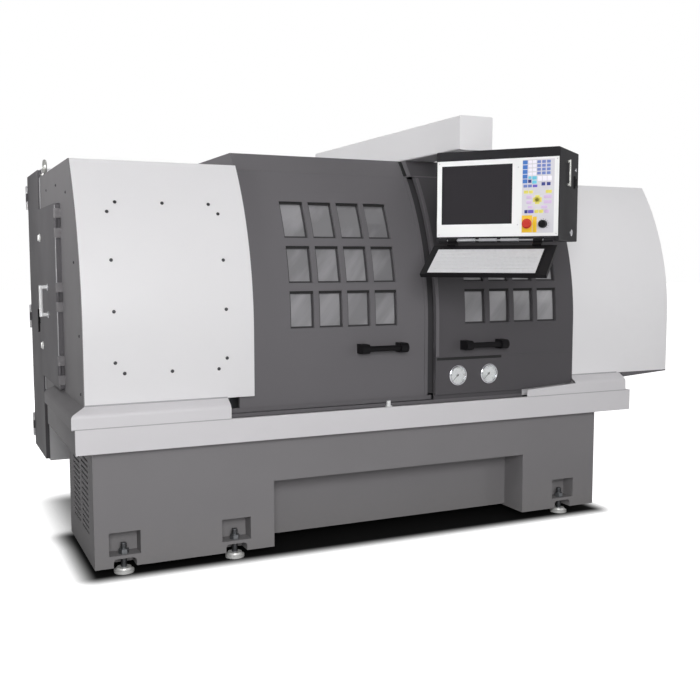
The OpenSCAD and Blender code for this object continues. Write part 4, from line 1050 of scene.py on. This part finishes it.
@dataclass
class LeftEnd:
    """Latches on the end door, pale strips that paint highlights on the edges, and trim of the cabinet."""

    leaf_x: float = -48.3
    plate_x: float = -28.0
    cabinet_x: float = -35.3
    cabinet_right: float = 1095.0
    cabinet_rear: float = 1720.0
    lid_rows: Pair = (290.0, 1750.0)

    def build(self) -> None:
        """Make the latches, the handle's seats, the pale strips that paint edge highlights and the cabinet's
        trim.
        """
        latch, seat = Form(), Form()
        for z in (880, 1422):
            place = facing((self.leaf_x, 1092, z), TO_LEFT)
            latch.turned([(0, -0.5), (21, -0.5), (21, 3), (18.5, 5), (0, 5)], place, 40)
            latch.block((-4, -15, 4), (4, 15, 12), place, 2, 3)
        latch.piece("access_latches", PAD_NICKEL, "access_door", "black_plastic")
        cup = [(9.4, -0.4), (17, -0.4), (17, 2.6), (14, 4.4), (9.4, 4.4), (9.4, -0.4)]
        for z in (1049, 1181):
            seat.turned(cup, facing((self.leaf_x, 843, z), TO_LEFT))
        seat.piece("access_handle_seats", CHROME, "access_door", "chrome")
        plate = Form().ring((6.6, 22), (-0.4, 0.15), facing((self.cabinet_x, 1282, 995.5), TO_LEFT), 40)
        plate.piece("cabinet_latch_plate", ZINC, "cabinet_door", "steel")
        self._edge_highlights()
        self._cabinet_trim()

    def _edge_highlights(self) -> None:
        """Pale strips on the end door's and the end plate's edges that paint highlights on their rounded
        edges, and a skirt at the tray's end.
        """
        door = Form().block((self.leaf_x - 2, 522, 742), (self.leaf_x + 0.4, 534, 1556), edge=1)
        door.piece("access_door_highlight_strip", EDGE_HIGHLIGHT_GREY, "access_door", "dark_paint")
        x = self.plate_x
        plate = Form().block((x - 3, 1194, 640), (x + 0.4, 1214, 1730), edge=1.2)
        plate.piece("end_plate_highlight_strip", EDGE_HIGHLIGHT_GREY, "base", "dark_paint")
        low, high = machine_box("chip_tray")
        skirt = Form().block((low.x - 1.6, low.y + 2, low.z), (low.x + 0.3, high.y, high.z), edge=0.5)
        skirt.piece("tray_end_skirt", END_PAINT, "base", "dark_paint")

    def _cabinet_trim(self) -> None:
        """Louvre frame and screws on the cabinet's rear and side."""
        rear = facing((0, self.cabinet_rear, 0), TO_REAR)
        x = -self.cabinet_right
        frame = Form().framed((x + 142, 378), (x + 398, 662), 14, 3, rear)
        frame.piece("cabinet_louvre_frame", LIGHT_PAINT, "base", "light_paint")
        spots = [(x, self.cabinet_rear, z) for x in (40, 380, 720, 1050) for z in self.lid_rows]
        screws = Form().screws(spots, TO_REAR, 6)
        spots = [(self.cabinet_right, y, z) for y in (1260, 1470, 1680) for z in self.lid_rows]
        screws.screws(spots, TO_RIGHT, 6)
        screws.piece("cabinet_screws", SCREW_DARK)


@dataclass
class Drives:
    """Fronts of the units inside the cabinet."""

    units: int = 4
    first_x: float = 95.0
    pitch: float = 210.0
    wide: float = 170.0
    front_y: float = 1527.0
    low: float = 1035.5
    ribs: int = 7
    pins: int = 6
    contactors: int = 9

    def build(self) -> None:
        """Make drive fronts, terminals and a row of contactors."""
        fronts, terminals = Form(), Form()
        for unit in range(self.units):
            place = facing((self.first_x + unit * self.pitch, self.front_y, self.low), TO_FRONT)
            fronts.block((6, 60, -0.5), (self.wide - 6, 380, 12), place, 4, 3)
            for rib in range(self.ribs):
                z = 250 + rib * 16
                fronts.block((24, z, 11), (self.wide - 24, z + 7, 15), place, 1.5)
            for pin in range(self.pins):
                x = 16 + pin * 24
                terminals.block((x, 18, -0.5), (x + 16, 44, 8), place, 1.2)
        for slot in range(self.contactors):
            place = facing((190 + slot * 72, 1597, 470), TO_FRONT)
            fronts.block((0, 8, -0.5), (60, 100, 26), place, 3)
            terminals.block((8, 88, 25), (52, 96, 29), place, 1)
        fronts.piece("drive_fronts", DRIVE_GREY, "base", "grey_plastic")
        terminals.piece("drive_terminals", COPPER)


@dataclass
class Workings:
    """Fittings on the machine behind the doors."""

    axis: Pair = (400.0, 1130.0)
    cap_x: float = 654.0
    cap_circle: float = 119.0
    nose_x: float = 690.0
    chuck_r: float = 157.0
    turret: Point = (1270.0, 260.0, 1076.0)

    def build(self) -> None:
        """Make all fittings of the machine inside."""
        self._headstock()
        self._chuck()
        self._turret()
        self._saddle()
        self._tailstock()
        self._motor()

    def _headstock(self) -> None:
        """Bearing cap screws and an oil sight glass."""
        y, z = self.axis
        screws = Form()
        for step in range(8):
            angle = math.radians(22.5 + 45 * step)
            spot = (self.cap_x, y + self.cap_circle * math.cos(angle), z + self.cap_circle * math.sin(angle))
            screws.screw(facing(spot, TO_RIGHT))
        screws.piece("bearing_screws", SCREW_DARK)
        rim = [(0, -0.5), (26, -0.5), (26, 5), (23, 8), (17, 8), (17, 4), (0, 4)]
        glass = Form().turned(rim, facing((420, 190, 1060), TO_FRONT), 40)
        glass.piece("oil_sight", BRASS, "base", "chrome")

    def _chuck(self) -> None:
        """Key sockets in the chuck's rim."""
        form = Form()
        middle = Vector((self.nose_x + 66, *self.axis))
        for angle in (60, 180, 300):
            out = Vector((0, math.sin(math.radians(angle)), -math.cos(math.radians(angle))))
            place = facing(middle + out * (self.chuck_r - 1), out, TO_RIGHT)
            form.framed((-11, -11), (11, 11), 5, 2.2, place)
            form.ring((15, 18), (0, 2.4), place)
        form.piece("chuck_sockets", STEEL, "spindle", "steel")

    def _turret(self) -> None:
        """Clamp screws, inserts and the hub nut of the tool turret."""
        screws, tips = Form(), Form()
        base = moved(*self.turret)
        head = [(0, -0.5), (9, -0.5), (9, 12), (8, 13), (4.2, 13), (4.2, 6), (0, 6)]
        tip = [(0, 0), (7.5, 0), (8.5, 4.4), (0, 4.4)]
        nut = [(0, 117), (26, 117), (26, 132), (22, 136), (0, 136)]
        for quarter in range(4):
            turn = base @ turned_by(90 * quarter)
            for x in (-50, -12, 26):
                screws.turned(head, turn @ moved(x, -76, 96), 24)
            tips.turned(tip, turn @ moved(110, -81, 53.6), 3)
        screws.turned(nut, base, 6)
        screws.piece("turret_screws", SCREW_DARK, "tool_turret", "steel")
        tips.piece("turret_inserts", CARBIDE, "tool_turret", "steel")

    def _saddle(self) -> None:
        """Wipers at the saddle's ends."""
        form = Form()
        for x in (1062, 1470):
            for y1, y2 in ((205, 268), (532, 600)):
                form.block((x, y1, 842), (x + 8, y2, 880), edge=1.5)
        form.piece("saddle_wipers", RUBBER_AND_SHADE, "saddle", "black_plastic")

    def _tailstock(self) -> None:
        """Clamp lever with its ball."""
        place = facing((2085, 292, 1150), (0, -1, 0.5))
        rod = place @ moved(0, 0, 14) @ turned_by(-62, "Y")
        hub = [(0, -20), (15, -20), (15, 22), (11, 27), (0, 27)]
        bar = [(0, 8), (6.5, 8), (5.5, 118), (0, 118)]
        round_end = [
            (0, 114), (8, 115.5), (13.5, 120.5), (16, 128), (13.5, 136.5), (8, 142), (0, 144),
        ]
        lever = Form().turned(hub, place).turned(bar, rod, 24)
        lever.piece("tailstock_lever", STEEL, "tailstock", "steel")
        Form().turned(round_end, rod).piece("lever_ball", BLACK_PLASTIC, "tailstock", "black_plastic")

    def _motor(self) -> None:
        """Terminal box and fan cowl of the spindle motor."""
        box = Form().block((240, 822, 930), (380, 832, 1030), edge=4, segments=3)
        box.block((252, 800, 940), (368, 824, 1020), edge=6, segments=3)
        box.piece("motor_terminal_box", MOTOR_PAINT, "base", "motor_paint")
        cowl = Form()
        for r in (16, 30, 44, 58, 72):
            cowl.ring((r, r + 7), (-0.4, 3), facing((570, 930, 962), TO_RIGHT), 40)
        cowl.piece("motor_fan_grille", ZINC)


@dataclass
class Overhead:
    """Flange bolts of the overhead arm."""

    columns: Pair = (1563.0, 1779.0)
    rows: Point = (920.0, 1037.0, 1154.0)
    flange_z: float = 1811.0

    def build(self) -> None:
        """Make the flange's bolts."""
        head = [(0, -0.4), (10, -0.4), (10, 7), (9, 8), (0, 8)]
        form = Form()
        for x in self.columns:
            for y in self.rows:
                form.turned(head, moved(x, y, self.flange_z), 6)
        form.piece("arm_bolts", ZINC)


@dataclass(frozen=True)
class Lamp:
    """A round area lamp with a grid of a given spread; one that is not mirrored gives no highlight."""

    name: str
    spot: Point
    size: float
    power: float
    aim: Point = (1.2, 0.4, 0.9)
    spread: float = 180.0
    mirrored: bool = True


@dataclass
class Studio:
    """Floor, light and the photograph's camera."""

    eye: Point = (-626.0, -3837.0, 1305.0)
    yaw: float = 25.0
    pitch: float = 5.45
    focal_px: float = 930.0
    frame_px: float = 700.0
    sensor_mm: float = 36.0
    far: float = 200.0
    ambient: float = 0.24
    mirror: float = 0.42
    floor_half: float = 40.0
    floor_painted_shadow: Point = (0.004, 0.004, 0.004, 1.0)
    floor_pale: Point = (0.9, 0.9, 0.9, 1.0)
    floor_roughness: float = 0.9
    floor_specular: float = 0.1
    white: Point = (1.0, 1.0, 1.0, 1.0)
    whole: Pair = (0.0, 1.0)
    upper_half: Pair = (0.5, 1.0)
    # The footprint and the rectangle under the cabinet bound the painted shadow on the floor, with its
    # reaches and levels.
    footprint: tuple[Point, Point] = ((10.0, 0.0, 0.0), (2570.0, 640.0, 0.0))
    painted_contact_reach: Pair = (0.0, 0.12)
    glow_painted_shade_reach: Pair = (0.02, 0.16)
    painted_shadow_under_cabinet: tuple[Point, Point] = ((120.0, 640.0, 0.0), (900.0, 1330.0, 0.0))
    painted_cabinet_reach: Pair = (0.0, 0.28)
    painted_cabinet_levels: Pair = (0.12, 1.0)
    lamps: tuple[Lamp, ...] = (
        Lamp("key", (-0.7, -4.9, 2.2), 2.4, 180.0),
        Lamp("left", (-4.6, -0.6, 2.6), 1.2, 10.0, (0.0, 0.6, 2.1), 42.0),
        Lamp("right", (5.2, -4.0, 2.2), 1.4, 5.5, (2.8, 0.0, 1.9), 50.0, mirrored=False),
        Lamp("top", (1.3, 1.2, 5.0), 3.0, 12.0),
        Lamp("rear", (1.6, 6.2, 2.0), 2.4, 120.0, mirrored=False),
    )

    def build(self) -> None:
        """Set up the whole studio."""
        self._floor()
        self._world()
        self._lamps()
        self._camera()
        bpy.context.scene.view_settings.view_transform = "Standard"

    def _floor(self) -> None:
        """A wide pale floor that keeps the cast shadow, with painted shadow round the pedestal's footprint
        and under the cabinet.
        """
        bm = bmesh.new()
        bmesh.ops.create_grid(bm, x_segments=1, y_segments=1, size=self.floor_half)
        mesh = bpy.data.meshes.new("floor")
        bm.to_mesh(mesh)
        bm.free()
        floor = bpy.data.objects.new("floor", mesh)
        bpy.context.scene.collection.objects.link(floor)
        made = bpy.data.materials.new("pale_floor")
        made.use_nodes = True
        tree = made.node_tree
        seen = self._seen(tree)
        # Painted shadow: the floor's colour and glow fall off near the footprint and under the cabinet.
        away = self._distance(tree, *self.footprint)
        beside = self._distance(tree, *self.painted_shadow_under_cabinet)
        soft = self._smooth(tree, beside, self.painted_cabinet_reach, self.painted_cabinet_levels)
        painted_shadow = combine(tree, "MULTIPLY", self._smooth(tree, away, self.painted_contact_reach, self.whole), soft)
        glow = combine(tree, "MULTIPLY", self._smooth(tree, away, self.glow_painted_shade_reach, self.upper_half), seen)
        weight = combine(tree, "MULTIPLY", painted_shadow, self._smooth(tree, seen, self.whole, self.upper_half))
        feed(tree, tree.nodes["Principled BSDF"], {
            "Roughness": self.floor_roughness, "Specular IOR Level": self.floor_specular,
            "Emission Color": self.white, "Emission Strength": combine(tree, "MULTIPLY", painted_shadow, glow),
            "Base Color": blend(tree, weight, self.floor_painted_shadow, self.floor_pale),
        })
        mesh.materials.append(made)

    @staticmethod
    def _smooth(tree: Tree, value: Socket, reach: Pair, to: Pair) -> Socket:
        """Map a value from one range to another with soft ends."""
        return ramp(tree, value, reach, to, "SMOOTHSTEP")

    @staticmethod
    def _distance(tree: Tree, low: Point, high: Point) -> Socket:
        """Distance of a floor point from a rectangle on the floor.

        Args:
            tree: The floor's nodes.
            low: The rectangle's lowest corner, in machine millimetres.
            high: Its highest corner.

        Returns:
            The distance in metres.
        """
        low, high = (datum() @ Vector(corner) for corner in (low, high))
        last = tree.nodes.new("ShaderNodeTexCoord").outputs["Object"]
        for operation, more in (
            ("SUBTRACT", {1: (low + high) / 2}), ("ABSOLUTE", {}), ("SUBTRACT", {1: (high - low) / 2}),
            ("MAXIMUM", {1: (0, 0, 0)}),
        ):
            last = add_node(tree, "VectorMath", {0: last, **more}, operation=operation).outputs["Vector"]
        return add_node(tree, "VectorMath", {0: last}, operation="LENGTH").outputs["Value"]

    def _seen(self, tree: Tree) -> Socket:
        """Tell what is seen from what only carries light.

        Args:
            tree: The nodes of the floor or the world.

        Returns:
            1 for rays from the eye or through a pane, mirror for reflections, 0 for all others.
        """
        path = tree.nodes.new("ShaderNodeLightPath").outputs
        last = self._smooth(tree, path["Is Glossy Ray"], self.whole, (0.0, self.mirror))
        for kind in ("Is Camera Ray", "Is Transmission Ray"):
            last = combine(tree, "MAXIMUM", last, path[kind])
        return last

    def _world(self) -> None:
        """White to the eye and in reflections, a soft level for light."""
        world = bpy.data.worlds.new("studio")
        world.use_nodes = True
        bpy.context.scene.world = world
        tree = world.node_tree
        level = self._smooth(tree, self._seen(tree), self.whole, (self.ambient, 1.0))
        feed(tree, tree.nodes["Background"], {"Color": self.white, "Strength": level})

    def _lamps(self) -> None:
        """A large soft lamp in front, weak gridded ones at the sides, and lamps above and behind."""
        for lamp in self.lamps:
            light = bpy.data.lights.new(lamp.name, "AREA")
            light.shape = "DISK"
            light.size = lamp.size
            light.energy = lamp.power
            light.spread = math.radians(lamp.spread)
            made = bpy.data.objects.new(lamp.name, light)
            made.location = lamp.spot
            made.rotation_euler = (Vector(lamp.aim) - Vector(lamp.spot)).to_track_quat("-Z", "Y").to_euler()
            made.visible_glossy = lamp.mirrored
            bpy.context.scene.collection.objects.link(made)

    def _camera(self) -> None:
        """The photograph's camera."""
        camera = bpy.data.cameras.new("photo_camera")
        camera.sensor_width = self.sensor_mm
        camera.lens = self.sensor_mm * self.focal_px / self.frame_px
        camera.clip_end = self.far
        made = bpy.data.objects.new("photo_camera", camera)
        made.location = datum() @ Vector(self.eye)
        made.rotation_euler = (math.radians(90.0 - self.pitch), 0.0, math.radians(-self.yaw))
        bpy.context.scene.collection.objects.link(made)
        bpy.context.scene.camera = made


def dress_nodes(nodes: dict[str, bpy.types.Object]) -> None:
    """Give every solid of the frame its finish.

    Args:
        nodes: The frame's solids by name.
    """
    for finish, names in NODE_FINISH.items():
        for name in names:
            mesh = nodes[name].data
            mesh.materials.clear()
            mesh.materials.append(finish.material())
    bare = sorted(set(nodes) - {n for names in NODE_FINISH.values() for n in names})
    if bare:
        LOG.warning("solids without a finish: %s", bare)


def main() -> None:
    """Build the dressed machine and its studio."""
    logging.basicConfig(level=logging.INFO, format="%(name)s: %(message)s")
    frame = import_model()
    dress_nodes(frame["nodes"])
    pendant = Pendant()
    Covers().build()
    Door("main_door", set_back=22.0, window_x=882.0, edge=(1566.0, 1583.0), low=664.0).build()
    Door("right_door", set_back=-14.0, window_x=1770.0, edge=(1608.0, 1624.0), low=846.3).build()
    seal = Form().bent((1576.0, 672.0), (1622.0, 1708.0), deep=4.0, set_back=32.0, rows=32)
    seal.piece("door_seal", SEAL_GREY, "main_door", "black_plastic")
    for name, x in (("gauge_left", 1727.0), ("gauge_right", 1904.0)):
        Gauge(name, x).build()
    pendant.build()
    KeyboardDeck().build(pendant)
    Feet().build()
    LeftEnd().build()
    Drives().build()
    Workings().build()
    Overhead().build()
    Studio().build()


if __name__ == "__main__":
    main()
